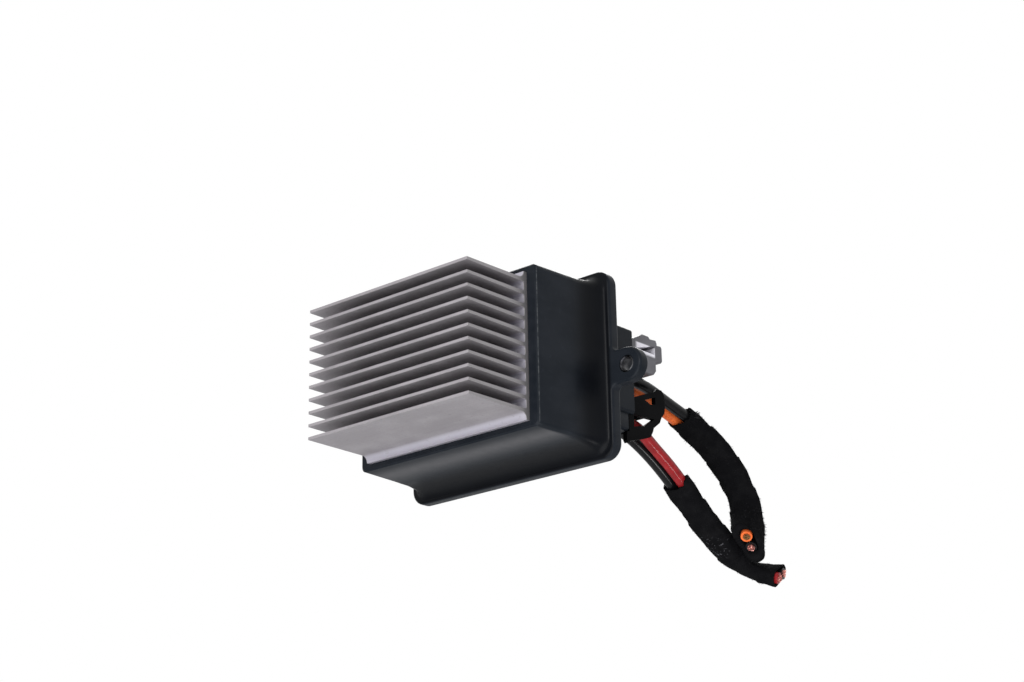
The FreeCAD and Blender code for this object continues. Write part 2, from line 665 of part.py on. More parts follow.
def power_blade(x, z):
    """A flat contact from the board through the rear wall into the power socket."""
    half_t, half_w = BLADE_THICK / 2, BLADE_WIDTH / 2
    start = BOARD_FRONT - BLADE_TAIL
    lead_in = 1.2
    points = [
        (start, z - half_w), (BLADE_TIP - lead_in, z - half_w), (BLADE_TIP, z - half_w + lead_in),
        (BLADE_TIP, z + half_w - lead_in), (BLADE_TIP - lead_in, z + half_w), (start, z + half_w),
    ]
    return side_profile(points, x - half_t, x + half_t)


def control_pin(x):
    """A square pin from the board into the control socket, with a pointed tip."""
    half, start = PIN_SIZE / 2, BOARD_FRONT - BLADE_TAIL
    shaft = block(x - half, x + half, start, PIN_TIP - 1, PIN_ROW - half, PIN_ROW + half)
    wide = rounded_outline(x - half, x + half, PIN_ROW - half, PIN_ROW + half, half * 0.1, PIN_TIP - 1)
    slim = rounded_outline(x - half / 2, x + half / 2, PIN_ROW - half / 2, PIN_ROW + half / 2, half * 0.05,
                           PIN_TIP)
    return shaft.fuse(Part.makeLoft([wide, slim], True, True))


def power_plug():
    """The four-way plug: contact channels from the front, wire bores from the back."""
    front = SOCKET_FLOOR + SLOT_FIT
    left, right = PLUG_X - PLUG_WIDTH / 2, PLUG_X + PLUG_WIDTH / 2
    outline = rounded_outline(left, right, PLUG_BOTTOM, PLUG_TOP, PLUG_ROUND, front)
    plug = prism(outline, PLUG_BACK - front)
    cuts = []
    for x, z in CONTACTS:
        half_x, half_z = TERMINAL_WIDTH / 2 + SLOT_FIT, TERMINAL_HEIGHT / 2 + SLOT_FIT
        cuts.append(block(x - half_x, x + half_x, TERMINAL_FRONT, PLUG_BACK + 1, z - half_z, z + half_z))
        cuts.append(upright_slot(x, z, BLADE_THICK, BLADE_WIDTH, front - 1, TERMINAL_FRONT + 1))
        cuts.append(rod(WIRE_DIAMETER / 2 + SLOT_FIT, V(x, TERMINAL_BACK - 1, z), V(x, PLUG_BACK + 1, z)))
    return plug.cut(cuts)


def power_terminal(x, z):
    """A folded receptacle that grips one blade; its wire starts at its back."""
    half_x, half_z = TERMINAL_WIDTH / 2, TERMINAL_HEIGHT / 2
    shell = block(x - half_x, x + half_x, TERMINAL_FRONT, TERMINAL_BACK, z - half_z, z + half_z)
    return shell.cut(upright_slot(x, z, BLADE_THICK, BLADE_WIDTH, TERMINAL_FRONT - 1, BLADE_TIP + 0.5))


def control_plug():
    """The small plug: body, rear cover and an arm over its top that carries the thumb pad."""
    x0, x1 = CONTROL_X - CONTROL_WIDTH / 2, CONTROL_X + CONTROL_WIDTH / 2
    front, back = SOCKET_FLOOR + SLOT_FIT, CONTROL_BACK
    low, high = CONTROL_BOTTOM, CONTROL_TOP
    body = side_profile([
        (front, low), (back - 2.2, low), (back, low + 2.0), (back, high), (front, high),
    ], x0, x1)
    cover = side_profile([
        (back - 0.5, COVER_BOTTOM), (COVER_BACK - 0.6, COVER_BOTTOM + 0.4), (COVER_BACK, COVER_BOTTOM + 1.2),
        (COVER_BACK, COVER_TOP - 0.6), (COVER_BACK - 0.6, COVER_TOP), (back - 0.5, COVER_TOP - 0.3),
    ], x0, x1)
    arm_start = BLOCK_BACK + 4.0
    pad = BLOCK_BACK + 9.2
    t = LATCH_THICK
    arm = side_profile([
        (arm_start - 3, high - 0.5), (arm_start, high - 0.5), (pad + 5.6, high + 2.6),
        (back + 0.8, high + 2.7), (back + 1.0, high + 2.9 + t), (back + 0.4, high + 4.0 + t),
        (pad + 4.8, high + 3.7 + t), (pad + 4.0, high + 4.4 + t), (pad + 0.7, high + 4.4 + t),
        (arm_start, high + 1.4 + t), (arm_start - 3, high + 1.2),
    ], x0, x1)
    skirt = side_profile([
        (SKIRT_FRONT, low + 1), (SKIRT_FRONT, SKIRT_BOTTOM), (back - 1.4, SKIRT_BOTTOM),
        (back, SKIRT_BOTTOM + 1.6), (back, low + 2.5),
    ], x0, x1)
    plug = body.fuse([cover, arm, skirt])
    cuts = []
    for x in pin_places():
        cuts.append(upright_slot(x, PIN_ROW, PIN_SIZE, PIN_SIZE, front - 1, PIN_TIP + 0.5))
    return plug.cut(cuts).removeSplitter()


def guide_plate(x0, x1):
    """One side plate of the guide: a top bar, a web, an upright strip, a heel and an arm under the plug."""
    start = BLOCK_BACK + GUIDE_GAP
    foot = STEP_BACK + GUIDE_GAP
    strip = GUIDE_BACK - GUIDE_ARM
    spine = start + 0.8
    under_step = STEP_BOTTOM - GUIDE_GAP
    outline = [
        (start, GUIDE_WEB_TOP), (strip, GUIDE_TOP - 1.2), (strip + 1.0, GUIDE_TOP - 0.2),
        (GUIDE_BACK - 1.6, GUIDE_TOP), (GUIDE_BACK - 0.3, GUIDE_TOP - 1.3),
        (GUIDE_BACK, GUIDE_WEB_TOP + 0.7), (GUIDE_BACK - 0.6, GUIDE_WEB_BOTTOM + 3.4),
        (GUIDE_BACK - 2.2, GUIDE_WEB_BOTTOM + 1.8), (GUIDE_BACK - 3.2, GUIDE_WEB_BOTTOM - 0.2),
        (strip + 0.2, GUIDE_HEEL), (strip - 1.3, GUIDE_HEEL - 1.1), (strip - 1.8, GUIDE_HEEL - 2.4),
        (strip - 3.2, GUIDE_HEEL - 4.6), (strip - 5.8, GUIDE_HEEL - 5.6),
        (foot + 0.2, GUIDE_FOOT + 0.7), (foot - 0.8, GUIDE_FOOT), (foot - 1.5, GUIDE_FOOT + 0.8),
        (foot - 1.3, under_step - 0.5), (foot - 0.8, under_step), (foot, under_step),
        (foot, BLOCK_BOTTOM - GUIDE_GAP), (start, BLOCK_BOTTOM - GUIDE_GAP),
    ]
    window = [
        (strip - 5.6, GUIDE_WEB_TOP + 0.8), (strip, GUIDE_TOP - 1.4 - GUIDE_BAR),
        (strip, GUIDE_WEB_TOP + 0.4), (strip - 2.4, GUIDE_WEB_TOP - 0.1),
    ]
    opening = [
        (spine, GUIDE_WEB_BOTTOM - 0.2), (strip - 1.0, GUIDE_WEB_BOTTOM + 0.3),
        (strip - 6.3, GUIDE_HEEL - 1.5), (spine, GUIDE_HEEL - 2.7),
    ]
    plate = side_profile(outline, x0, x1)
    return plate.cut([side_profile(window, x0 - 1, x1 + 1), side_profile(opening, x0 - 1, x1 + 1)])


def wire_guide():
    """The open guide round the back of the power plug: two side plates and two cross bars."""
    near = PLUG_X + PLUG_WIDTH / 2 + GUIDE_GAP
    far = PLUG_X - PLUG_WIDTH / 2 - GUIDE_GAP
    plates = [guide_plate(near, near + GUIDE_THICK), guide_plate(far - GUIDE_THICK, far)]
    x0, x1 = far - GUIDE_THICK / 2, near + GUIDE_THICK / 2
    bar_y = GUIDE_BACK - 1.8
    back_bar = capsule((bar_y, GUIDE_WEB_TOP), (bar_y, GUIDE_WEB_TOP - 1.0), 1.9, x0, x1)
    low = PLUG_BOTTOM - GUIDE_GAP
    low_bar = block(x0, x1, STEP_BACK + 0.5, STEP_BACK + 2.8, low - 1.9, low)
    return plates[0].fuse([plates[1], back_bar, low_bar]).removeSplitter()


def route_edges(points, label=None):
    """Straight runs joined by arcs, each as large as its two runs allow."""
    corners = []
    radii = []
    for before, at, after in zip(points, points[1:], points[2:]):
        back, ahead = before - at, after - at
        reach = 0.45 * min(back.Length, ahead.Length)
        turn = math.pi - back.getAngle(ahead)
        radii.append(reach / math.tan(turn / 2))
        start, end = at + back.normalize() * reach, at + ahead.normalize() * reach
        bisector = (start + end) * 0.5 - at
        centre = at + bisector.normalize() * (radii[-1] / math.cos(turn / 2))
        middle = centre + (at - centre).normalize() * radii[-1]
        corners.append((start, middle, end))
    edges = []
    here = points[0]
    for start, middle, end in corners:
        edges.append(Part.LineSegment(here, start).toShape())
        edges.append(Part.Arc(start, middle, end).toShape())
        here = end
    edges.append(Part.LineSegment(here, points[-1]).toShape())
    if label:
        print(label, "radii", [round(r, 1) for r in radii], "length", round(sum(e.Length for e in edges), 1))
    return edges


def swept_round(edges, radius):
    """A round tube along a route."""
    start = edges[0].Vertexes[0].Point
    heading = edges[0].tangentAt(edges[0].FirstParameter)
    ring = Part.Wire(Part.Circle(start, heading, radius).toShape())
    return Part.Wire(edges).makePipeShell([ring], True, True)


# The middle of each pair from the back of the terminals to the cut ends, and the twist of the pair there
# in degrees.
UPPER_ROUTE = [
    V(PLUG_X, TERMINAL_BACK, UPPER_ROW), V(PLUG_X, 33.0, UPPER_ROW), V(26.4, 50.0, 2.6), V(27.2, 68.0, -2.8),
    V(28.5, 80.6, -11.0), V(29.6, 88.2, -19.8), V(31.5, 90.1, -27.9), V(33.9, 87.7, -35.5),
    V(36.2, 82.4, -41.3),
]
UPPER_TWIST = (0, 0, 0, -12, -28, -50, -75, -100, -118)
UPPER_SPREAD = (CONTACT_SPREAD, CONTACT_SPREAD) + (PAIR_SPREAD,) * 7
LOWER_ROUTE = [
    V(PLUG_X, TERMINAL_BACK, LOWER_ROW), V(PLUG_X, 29.6, LOWER_ROW), V(26.4, 39.6, -14.0),
    V(26.4, 51.0, -20.2), V(24.6, 67.4, -29.6), V(23.7, 80.7, -39.1), V(25.7, 89.1, -45.6),
    V(31.3, 94.0, -49.7), V(39.3, 96.3, -51.5),
]
LOWER_TWIST = (0, 0, 0, 0, 2, 8, 24, 50, 70)
LOWER_SPREAD = (CONTACT_SPREAD, CONTACT_SPREAD) + (PAIR_SPREAD,) * 7


def beside(route, spread, twist, side):
    """The points of one wire of a pair: beside the middle, turned with the bends and by the twist."""
    runs = [(b - a).normalize() for a, b in zip(route, route[1:])]
    runs = runs[:1] + runs + runs[-1:]
    across = V(side, 0, 0)
    points = []
    for i, point in enumerate(route):
        heading = (runs[i] + runs[i + 1]).normalize()
        level = FreeCAD.Rotation(runs[i], heading).multVec(across)
        points.append(point + FreeCAD.Rotation(heading, twist[i]).multVec(level) * spread[i])
        across = FreeCAD.Rotation(runs[i], runs[i + 1]).multVec(across)
    return points


def wire(points, label):
    """One insulated wire, with its volume compared with section times length."""
    edges = route_edges(points, label)
    tube = swept_round(edges, WIRE_DIAMETER / 2)
    expected = math.pi * (WIRE_DIAMETER / 2) ** 2 * sum(e.Length for e in edges)
    print(label, "volume over section times length", round(tube.Volume / expected, 4))
    return tube


def core(points):
    """The copper that stands out of a wire's cut end."""
    heading = (points[-1] - points[-2]).normalize()
    return Part.makeCylinder(CORE_DIAMETER / 2, CORE_STICK, points[-1], heading)


def place_along(edges, distance):
    """The point and the heading at a distance along joined edges."""
    for edge in edges:
        if distance <= edge.Length or edge is edges[-1]:
            at = edge.getParameterByLength(min(distance, edge.Length))
            return edge.valueAt(at), edge.tangentAt(at)
        distance -= edge.Length


def oval(places, reach):
    """The outline round two wires where they are side by side; places are their points and headings."""
    (a, heading_a), (b, heading_b) = places
    heading = (heading_a + heading_b).normalize()
    across = b - a
    across = (across - heading * across.dot(heading)).normalize()
    thin = heading.cross(across).normalize()
    middle = (a + b) * 0.5
    a, b = middle - across * PAIR_SPREAD, middle + across * PAIR_SPREAD
    return Part.Wire([
        Part.LineSegment(a + thin * reach, b + thin * reach).toShape(),
        Part.Arc(b + thin * reach, b + across * reach, b - thin * reach).toShape(),
        Part.LineSegment(b - thin * reach, a - thin * reach).toShape(),
        Part.Arc(a - thin * reach, a - across * reach, a + thin * reach).toShape(),
    ])


def oval_bar(paths, reach, start, stop):
    """A bar lofted round two wires between two distances along them."""
    lengths = [sum(e.Length for e in path) for path in paths]
    middle = sum(lengths) / 2
    rings = []
    for i in range(TAPE_RING_COUNT):
        share = (start + (stop - start) * i / (TAPE_RING_COUNT - 1)) / middle
        places = [place_along(path, share * length) for path, length in zip(paths, lengths)]
        rings.append(oval(places, reach))
    return Part.makeLoft(rings, True, False)


def tape(wires, start, label):
    """The cloth tape wound round a pair: an oval tube that follows the two wires and their twist."""
    paths = [route_edges(points) for points in wires]
    stop = sum(e.Length for path in paths for e in path) / 2 - TAPE_SHORT
    outside = oval_bar(paths, WIRE_DIAMETER / 2 + TAPE_THICK, start, stop)
    inside = oval_bar(paths, WIRE_DIAMETER / 2 + TAPE_ROOM, start - TAPE_SHORT, stop + TAPE_SHORT)
    print(label, "tape length", round(stop - start, 1))
    return outside.cut(inside)


def main():
    os.makedirs("parts", exist_ok=True)
    save(heatsink(), "heatsink")
    save(housing(), "housing")
    save(ear_bush(EAR_SPAN / 2), "ear_bush_near")
    save(ear_bush(-EAR_SPAN / 2), "ear_bush_far")
    bottom, top = SCREW_HEIGHTS
    save(heatsink_screw(top), "heatsink_screw_top")
    save(heatsink_screw(bottom), "heatsink_screw_bottom")
    save(circuit_board(), "circuit_board")
    for side, name in ((1, "near"), (-1, "far")):
        x = side * CASE_SPACING / 2
        save(transistor(x), "transistor_" + name)
        save(thermal_pad(x), "thermal_pad_" + name)
    save(transistor_clip(), "transistor_clip")
    save(clip_screw(), "clip_screw")
    save(capacitor(), "capacitor")
    save(shunt(), "shunt")
    save(control_chip(), "control_chip")
    for i, (x, z) in enumerate(CONTACTS, 1):
        save(power_blade(x, z), f"power_blade_{i}")
        save(power_terminal(x, z), f"power_terminal_{i}")
    for i, x in enumerate(pin_places(), 1):
        save(control_pin(x), f"control_pin_{i}")
    save(power_plug(), "power_plug")
    save(control_plug(), "control_plug")
    save(wire_guide(), "wire_guide")
    orange = beside(UPPER_ROUTE, UPPER_SPREAD, UPPER_TWIST, -1)
    upper_black = beside(UPPER_ROUTE, UPPER_SPREAD, UPPER_TWIST, 1)
    red = beside(LOWER_ROUTE, LOWER_SPREAD, LOWER_TWIST, 1)
    lower_black = beside(LOWER_ROUTE, LOWER_SPREAD, LOWER_TWIST, -1)
    wires = {"orange": orange, "upper_black": upper_black, "red": red, "lower_black": lower_black}
    for name, points in wires.items():
        save(wire(points, name), name + "_wire")
        save(core(points), name + "_core")
    save(tape((orange, upper_black), UPPER_TAPE_START, "upper"), "upper_tape")
    save(tape((red, lower_black), LOWER_TAPE_START, "lower"), "lower_tape")


main()
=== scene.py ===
# %% [markdown]
# # Blower motor resistor
# This is the small regulator that sets the speed of a heater fan. An aluminium heatsink with eleven fins
# sits in the front of a dark moulded box, the air of the duct cools it, and two ears screw the box to the
# duct. Behind the flange are a black power plug with four cut wires and a small milky grey control plug.
# The solids come from the CAD frame in metres, and this script gives them their looks: edges, materials,
# the wires as smooth cords, the cloth tape round them, the lint on the tape and the copper in the cut ends.
# Its sizes are in millimetres, as in the CAD source, and `MM` turns them into metres. x runs along the fins,
# y back towards the wires and z up, from a point between the two ear holes.

# %% Frame
import math

import bmesh
import bpy
from mathutils import Matrix, Quaternion, Vector, noise


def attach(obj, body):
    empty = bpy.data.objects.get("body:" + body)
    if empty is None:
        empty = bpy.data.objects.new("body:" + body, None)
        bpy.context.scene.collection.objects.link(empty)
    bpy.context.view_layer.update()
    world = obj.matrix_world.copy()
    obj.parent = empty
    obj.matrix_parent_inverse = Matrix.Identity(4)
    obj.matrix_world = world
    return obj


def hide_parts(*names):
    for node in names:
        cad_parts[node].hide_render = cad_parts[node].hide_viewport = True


MM = 0.001
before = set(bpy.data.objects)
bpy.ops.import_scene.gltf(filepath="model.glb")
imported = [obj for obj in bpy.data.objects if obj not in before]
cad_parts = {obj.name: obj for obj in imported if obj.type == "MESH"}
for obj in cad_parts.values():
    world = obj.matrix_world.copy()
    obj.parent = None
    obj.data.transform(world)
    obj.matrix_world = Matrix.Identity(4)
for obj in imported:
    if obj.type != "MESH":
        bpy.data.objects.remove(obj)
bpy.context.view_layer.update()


def linked(name, data):
    """A new object in the scene."""
    made = bpy.data.objects.new(name, data)
    bpy.context.scene.collection.objects.link(made)
    return made


# %% [markdown]
# ## Camera
# The photograph looks at the part from below its near corner, through a fairly long lens. The place and
# the turn of the camera were worked out from the corners of the fins, the box and the flange, so they are
# given here as numbers: the height angle is negative, because the camera looks up.

# %% Camera
LENS, SENSOR = 72.52, 36.0
CAMERA_PLACE = (0.42875, -0.48933, -0.20776)
AZIMUTH, ELEVATION, ROLL = (math.radians(a) for a in (41.07, -19.27, -1.10))
away = Vector((math.sin(AZIMUTH) * math.cos(ELEVATION), -math.cos(AZIMUTH) * math.cos(ELEVATION),
               math.sin(ELEVATION)))
level = Vector((math.cos(AZIMUTH), math.sin(AZIMUTH), 0))
upward = away.cross(level)
right = level * math.cos(ROLL) + upward * math.sin(ROLL)
top = upward * math.cos(ROLL) - level * math.sin(ROLL)

lens = bpy.data.cameras.new("camera")
lens.lens = LENS
lens.sensor_width = SENSOR
lens.clip_start = 0.01
camera = linked("camera", lens)
turn = Matrix((right, top, away)).transposed().to_4x4()
camera.matrix_world = Matrix.Translation(CAMERA_PLACE) @ turn
bpy.context.scene.camera = camera
print("camera at", [round(c, 3) for c in camera.location])

# %% [markdown]
# ## Sums on sockets
# Shader and geometry trees are easier to read as formulas. `Link` stands for one output socket: a sum or a
# product of links adds the Math nodes that work it out.

# %% Sums on sockets
class Link:
    """An output socket that adds nodes when it is used in a formula."""

    def __init__(self, tree, socket):
        self.tree, self.socket = tree, socket

    def math(self, operation, *values):
        return self.tree.node("ShaderNodeMath", dict(enumerate(values)), operation=operation)

    def __add__(self, other):
        return self.math("ADD", self, other)

    def __sub__(self, other):
        return self.math("SUBTRACT", self, other)

    def __rsub__(self, other):
        return self.math("SUBTRACT", other, self)

    def __mul__(self, other):
        return self.math("MULTIPLY", self, other)

    def __abs__(self):
        return self.math("ABSOLUTE", self)

    def sine(self):
        return self.math("SINE", self)

    def or_more(self, other):
        return self.math("MAXIMUM", self, other)

    def below(self, other):
        return self.math("LESS_THAN", self, other)

    def between(self, start, end):
        """0 at start and 1 at end, smooth in between. It falls where start is the greater one."""
        return self.tree.node("ShaderNodeMapRange", {"Value": self, "From Min": start, "From Max": end},
                              interpolation_type="SMOOTHSTEP")

    def border(self, start, end):
        """The same for a place in metres, with start and end in millimetres."""
        return self.between(start * MM, end * MM)

    def also(self, output):
        """Another output of the same node, by name or number."""
        return Link(self.tree, self.socket.node.outputs[output])


print("links ready")

# %% [markdown]
# `Tree` adds any other node: its type, the values or links of its inputs, which output is wanted, and its
# settings.

# %% Nodes in one line
class Tree:
    """A node tree whose nodes are added in one line each."""

    def __init__(self, tree):
        self.tree = tree

    def node(self, kind, inputs=None, out=0, **settings):
        """A new node as a Link to one output. Settings go first, because some of them change the sockets."""
        new = self.tree.nodes.new(kind)
        for key, value in settings.items():
            setattr(new, key, value)
        for key, value in (inputs or {}).items():
            if isinstance(value, Link):
                self.tree.links.new(value.socket, new.inputs[key])
            else:
                new.inputs[key].default_value = value
        return Link(self, new.outputs[out]) if new.outputs else new

    def join(self, parts):
        new = self.tree.nodes.new("GeometryNodeJoinGeometry")
        for part in parts:
            self.tree.links.new(part.socket, new.inputs[0])
        return Link(self, new.outputs[0])

    def give(self, geometry, material):
        """The group's result is the geometry with its material."""
        done = self.node("GeometryNodeSetMaterial", {"Geometry": geometry, "Material": material})
        self.node("NodeGroupOutput", {"Geometry": done})
        return self.tree


print("formulas ready")

# %% [markdown]
# ## Materials
# Every finish starts from the same few patterns: grain from noise, lines from stretched noise, and colours
# mixed by a mask. Each pattern reads Object coordinates, which are metres on this part, or the piece's own
# UV map. Values that are the same all over a finish are set straight on the shader.

# %% A base for materials
class Finish(Tree):
    """A material's tree with its Principled shader, and the patterns that the finishes share."""

    def __init__(self, name, fixed):
        self.material = bpy.data.materials.new(name)
        self.material.use_nodes = True
        super().__init__(self.material.node_tree)
        self.shader = self.tree.nodes["Principled BSDF"]
        for key, value in fixed.items():
            self.shader.inputs[key].default_value = value
        self.place = self.node("ShaderNodeTexCoord", out="Object")

    def grain(self, size, detail, stretch=(1, 1, 1), rough=0.5):
        """Noise whose lumps are about size millimetres, longer where stretch is over 1."""
        step = 1 / (size * MM)
        scaled = self.node("ShaderNodeMapping", {"Vector": self.place, "Scale": [step / s for s in stretch]})
        return self.node("ShaderNodeTexNoise", {"Vector": scaled, "Scale": 1.0, "Detail": detail,
                                                "Roughness": rough})

    def mix(self, mask, first, second):
        return self.node("ShaderNodeMix", {0: mask, 6: first, 7: second}, out=2, data_type="RGBA")

    def parts(self, vector=None):
        """The x, y and z of a vector, or else of the place on the object."""
        split = self.node("ShaderNodeSeparateXYZ", {"Vector": vector or self.place})
        return [split.also(k) for k in range(3)]

    def bump(self, height, depth, strength):
        """A Normal from a height between 0 and 1, depth in millimetres."""
        return self.node("ShaderNodeBump", {"Height": height, "Distance": depth * MM, "Strength": strength})

    def set(self, **sockets):
        for key, value in sockets.items():
            self.tree.links.new(value.socket, self.shader.inputs[key.replace("_", " ")])
        return self.material


def rgb(red, green, blue):
    return (red, green, blue, 1.0)


print("patterns ready")

# %% [markdown]
# ### Extruded aluminium
# The heatsink is one length of extruded profile, sawn off. Drawing it through the die leaves faint lines
# along the fins, the saw leaves finer marks across the two ends, and air and age have dulled it to a warm
# grey with fine speckles. A metal this dull also scatters light, so the shader is only partly metallic.

# %% Extruded aluminium
SINK_WIDTH = 69.4  # along x
BASE_FRONT = -31.0  # front of the base plate, where the fins start


def aluminium():
    f = Finish("extruded aluminium", {"Metallic": 0.72, "Specular IOR Level": 0.3})
    x, y, _ = f.parts()
    drawn = f.grain(0.35, 4.0, stretch=(60, 1, 1))
    cloudy = f.grain(9.0, 3.0)
    sawn = f.grain(0.16, 3.0, stretch=(1, 14, 1))
    speckle = f.grain(0.30, 3.0, rough=0.7)
    stain = f.grain(1.4, 5.0, rough=0.65).between(0.58, 0.74)
    # end marks the two sawn ends, for their saw marks and for painted shade that darkens them.
    end = abs(x).border(SINK_WIDTH / 2 - 0.20, SINK_WIDTH / 2 - 0.08)
    # Painted light on the front of the base plate, the floor of the valleys between the fins.
    painted_light_base = y.border(BASE_FRONT - 2.3, BASE_FRONT - 0.3) * (1 - end)
    lines = f.mix(end, drawn, sawn)
    tone = f.mix(cloudy.between(0.35, 0.7), rgb(0.306, 0.287, 0.303), rgb(0.364, 0.343, 0.361))
    tone = f.mix(drawn.between(0.3, 0.8) * 0.3, tone, rgb(0.47, 0.45, 0.465))
    tone = f.mix(speckle.between(0.40, 0.70) * 0.5, tone, rgb(0.25, 0.232, 0.242))
    # The painted light on the valley floors is a pale lilac grey.
    tone = f.mix(painted_light_base * 0.85, tone, rgb(0.485, 0.470, 0.535))
    # Painted shade: the sawn ends are made darker.
    tone = f.mix(end * 0.75, tone, f.mix(speckle, rgb(0.21, 0.20, 0.205), rgb(0.30, 0.29, 0.295)))
    tone = f.mix(stain * 0.35, tone, rgb(0.20, 0.18, 0.18))
    gloss = drawn * 0.12 + cloudy * 0.10 + stain * 0.15 + 0.38
    return f.set(Base_Color=tone, Roughness=gloss, Normal=f.bump(lines, 0.02, 0.6))


ALUMINIUM = aluminium()
print(ALUMINIUM.name)

# %% [markdown]
# ### Moulded plastics
# The housing, the power plug and the guide are black, glass-filled plastic, duller than most: it sends back
# little light from the front and a lot at a flat angle, which makes the underside of the box look paler, and
# painted light on the underside adds to that.
# Its surface carries the fine texture of the mould, cloudy flow marks, rubbed paler patches, thin scratches
# and dust. The same recipe with other numbers makes each plastic.

# %% Moulded plastics
def moulded(name, dark, pale, base_rough, texture, depth, shine, worn=None):
    """texture is the size of the mould's grain and depth its height, in millimetres."""
    f = Finish(name, {"Specular IOR Level": shine})
    pitted = f.grain(texture, 2.0, rough=0.6)
    flow = f.grain(7.0, 4.0, stretch=(2.0, 2.0, 1.0))
    rubbed = f.grain(2.2, 6.0, rough=0.65).between(0.56, 0.74)
    scratch = f.grain(0.5, 2.0, stretch=(1.0, 22.0, 6.0)).between(0.70, 0.76)
    dust = f.grain(0.42, 3.0, rough=0.75).between(0.66, 0.76)
    tone = f.mix(flow.between(0.35, 0.65), rgb(*dark), rgb(*pale))
    tone = f.mix(rubbed * 0.28, tone, rgb(*(c * 1.7 for c in pale)))
    tone = f.mix(scratch * 0.3, tone, rgb(*(c * 2.6 for c in pale)))
    tone = f.mix(dust * 0.22, tone, rgb(*(c * 2.0 + 0.05 for c in pale)))
    # worn adds marks bound to places: wear, painted light and painted shade.
    if worn:
        tone = worn(f, tone)
    gloss = flow * 0.10 + rubbed * 0.08 + pitted * 0.06 + dust * 0.10 + base_rough
    return f.set(Base_Color=tone, Roughness=gloss, Normal=f.bump(pitted, depth, 0.7))


print("recipe ready")

# %% [markdown]
# A mask by place adds what one piece alone shows: the chafed corners of the box with a painted highlight
# along them, painted light on its underside, painted shade in the recess in front of the flange, and painted
# light on the thin latch of the grey plug.

# %% Worn places, painted light and painted shade
BOX_SIDE, FLANGE_END = 38.6, 44.0  # side faces of the box and the flange, from the middle
BOX_FRONT, BOX_UNDER = -29.7, -24.2


def chafed_painted_light_and_shade(f, tone):
    """The upright front corners of the box, rubbed pale in a broken line with a painted highlight along them,
    painted light on its underside in cloudy patches, strongest at the front, and nearly black painted shade
    in the recess in front of the flange."""
    x, y, z = f.parts()
    # Pale broken line on the upright front corners: rubbed wear, and a painted highlight along the edge.
    worn_and_highlit_corner = abs(x).border(BOX_SIDE - 0.30, BOX_SIDE - 0.05) * y.border(BOX_FRONT + 0.75, BOX_FRONT + 0.35)
    broken = f.grain(1.6, 5.0, rough=0.7).between(0.40, 0.66)
    # Painted light on the underside of the box, in cloudy patches, strongest towards the front.
    painted_light_under = z.border(BOX_UNDER, BOX_UNDER - 0.3) * y.border(-11.0, -25.0)
    cloudy = f.grain(3.5, 5.0, rough=0.6) * 0.4 + 0.45
    # Painted shade in the recess in front of the flange and on the flare of the walls beside it.
    painted_shade_hollow = y.border(-16.0, -5.0) * y.border(0.6, 0.2) * abs(x).border(FLANGE_END + 0.2, FLANGE_END - 1.2)
    # The painted light on the underside.
    tone = f.mix(painted_light_under * cloudy, tone, rgb(0.112, 0.110, 0.115))
    # The painted shade there is nearly black.
    tone = f.mix(painted_shade_hollow * 0.85, tone, rgb(0.0012, 0.0014, 0.0022))
    # The corners get both the wear and the painted highlight.
    return f.mix(worn_and_highlit_corner * (broken * 0.65 + 0.2), tone, rgb(0.085, 0.090, 0.094))


def painted_light_latch(f, tone):
    """Painted light on the thin arm of the latch and on the front of its pad."""
    _, y, z = f.parts()
    along = y.border(27.0, 28.6) * y.border(38.2, 37.6)
    upright = z.border(14.6, 15.6) * z.border(18.8, 18.3)
    # The painted light on the latch is nearly white.
    return f.mix(along * upright * 0.92, tone, rgb(0.88, 0.86, 0.92))


MATT, DULL, SATIN, MILKY = 0.02, 0.07, 0.3, 0.35  # how much light comes back from the front
HOUSING = moulded("housing plastic", (0.0080, 0.0102, 0.0138), (0.0115, 0.0138, 0.0180),
                  0.26, 0.22, 0.02, DULL, chafed_painted_light_and_shade)
BLACK_PLUG = moulded("plug plastic", (0.0012, 0.0012, 0.0015), (0.0028, 0.0028, 0.0032),
                     0.30, 0.3, 0.01, MATT)
GREY_PLUG = moulded("milky grey plastic", (0.085, 0.083, 0.093), (0.125, 0.122, 0.136),
                    0.30, 0.8, 0.015, MILKY, painted_light_latch)
PACKAGE = moulded("package plastic", (0.02, 0.02, 0.02), (0.035, 0.035, 0.035), 0.45, 0.15, 0.01, SATIN)
PAD = moulded("pad rubber", (0.36, 0.41, 0.46), (0.46, 0.51, 0.56), 0.55, 0.4, 0.01, SATIN)
BOARD = moulded("board green", (0.012, 0.075, 0.035), (0.02, 0.12, 0.055), 0.28, 0.5, 0.006, SATIN)
print(HOUSING.name, BLACK_PLUG.name, GREY_PLUG.name)

# %% [markdown]
# ### Plated metals
# The ear sleeves, screws, contacts and cut copper are small. Fine turning or drawing lines, cloudy plating
# and a few dull spots are what one sees of them at arm's length.

# %% Plated metals
def plated(name, dull, bright, base_rough):
    f = Finish(name, {"Metallic": 1.0})
    fine = f.grain(0.12, 3.0, stretch=(1, 1, 5))
    cloud = f.grain(1.6, 4.0)
    stain = f.grain(0.8, 5.0, rough=0.7).between(0.58, 0.7)
    tone = f.mix(cloud.between(0.35, 0.65), rgb(*dull), rgb(*bright))
    tone = f.mix(stain * 0.5, tone, rgb(*(c * 0.45 for c in dull)))
    gloss = fine * 0.12 + stain * 0.25 + base_rough
    return f.set(Base_Color=tone, Roughness=gloss, Normal=f.bump(fine, 0.01, 0.5))


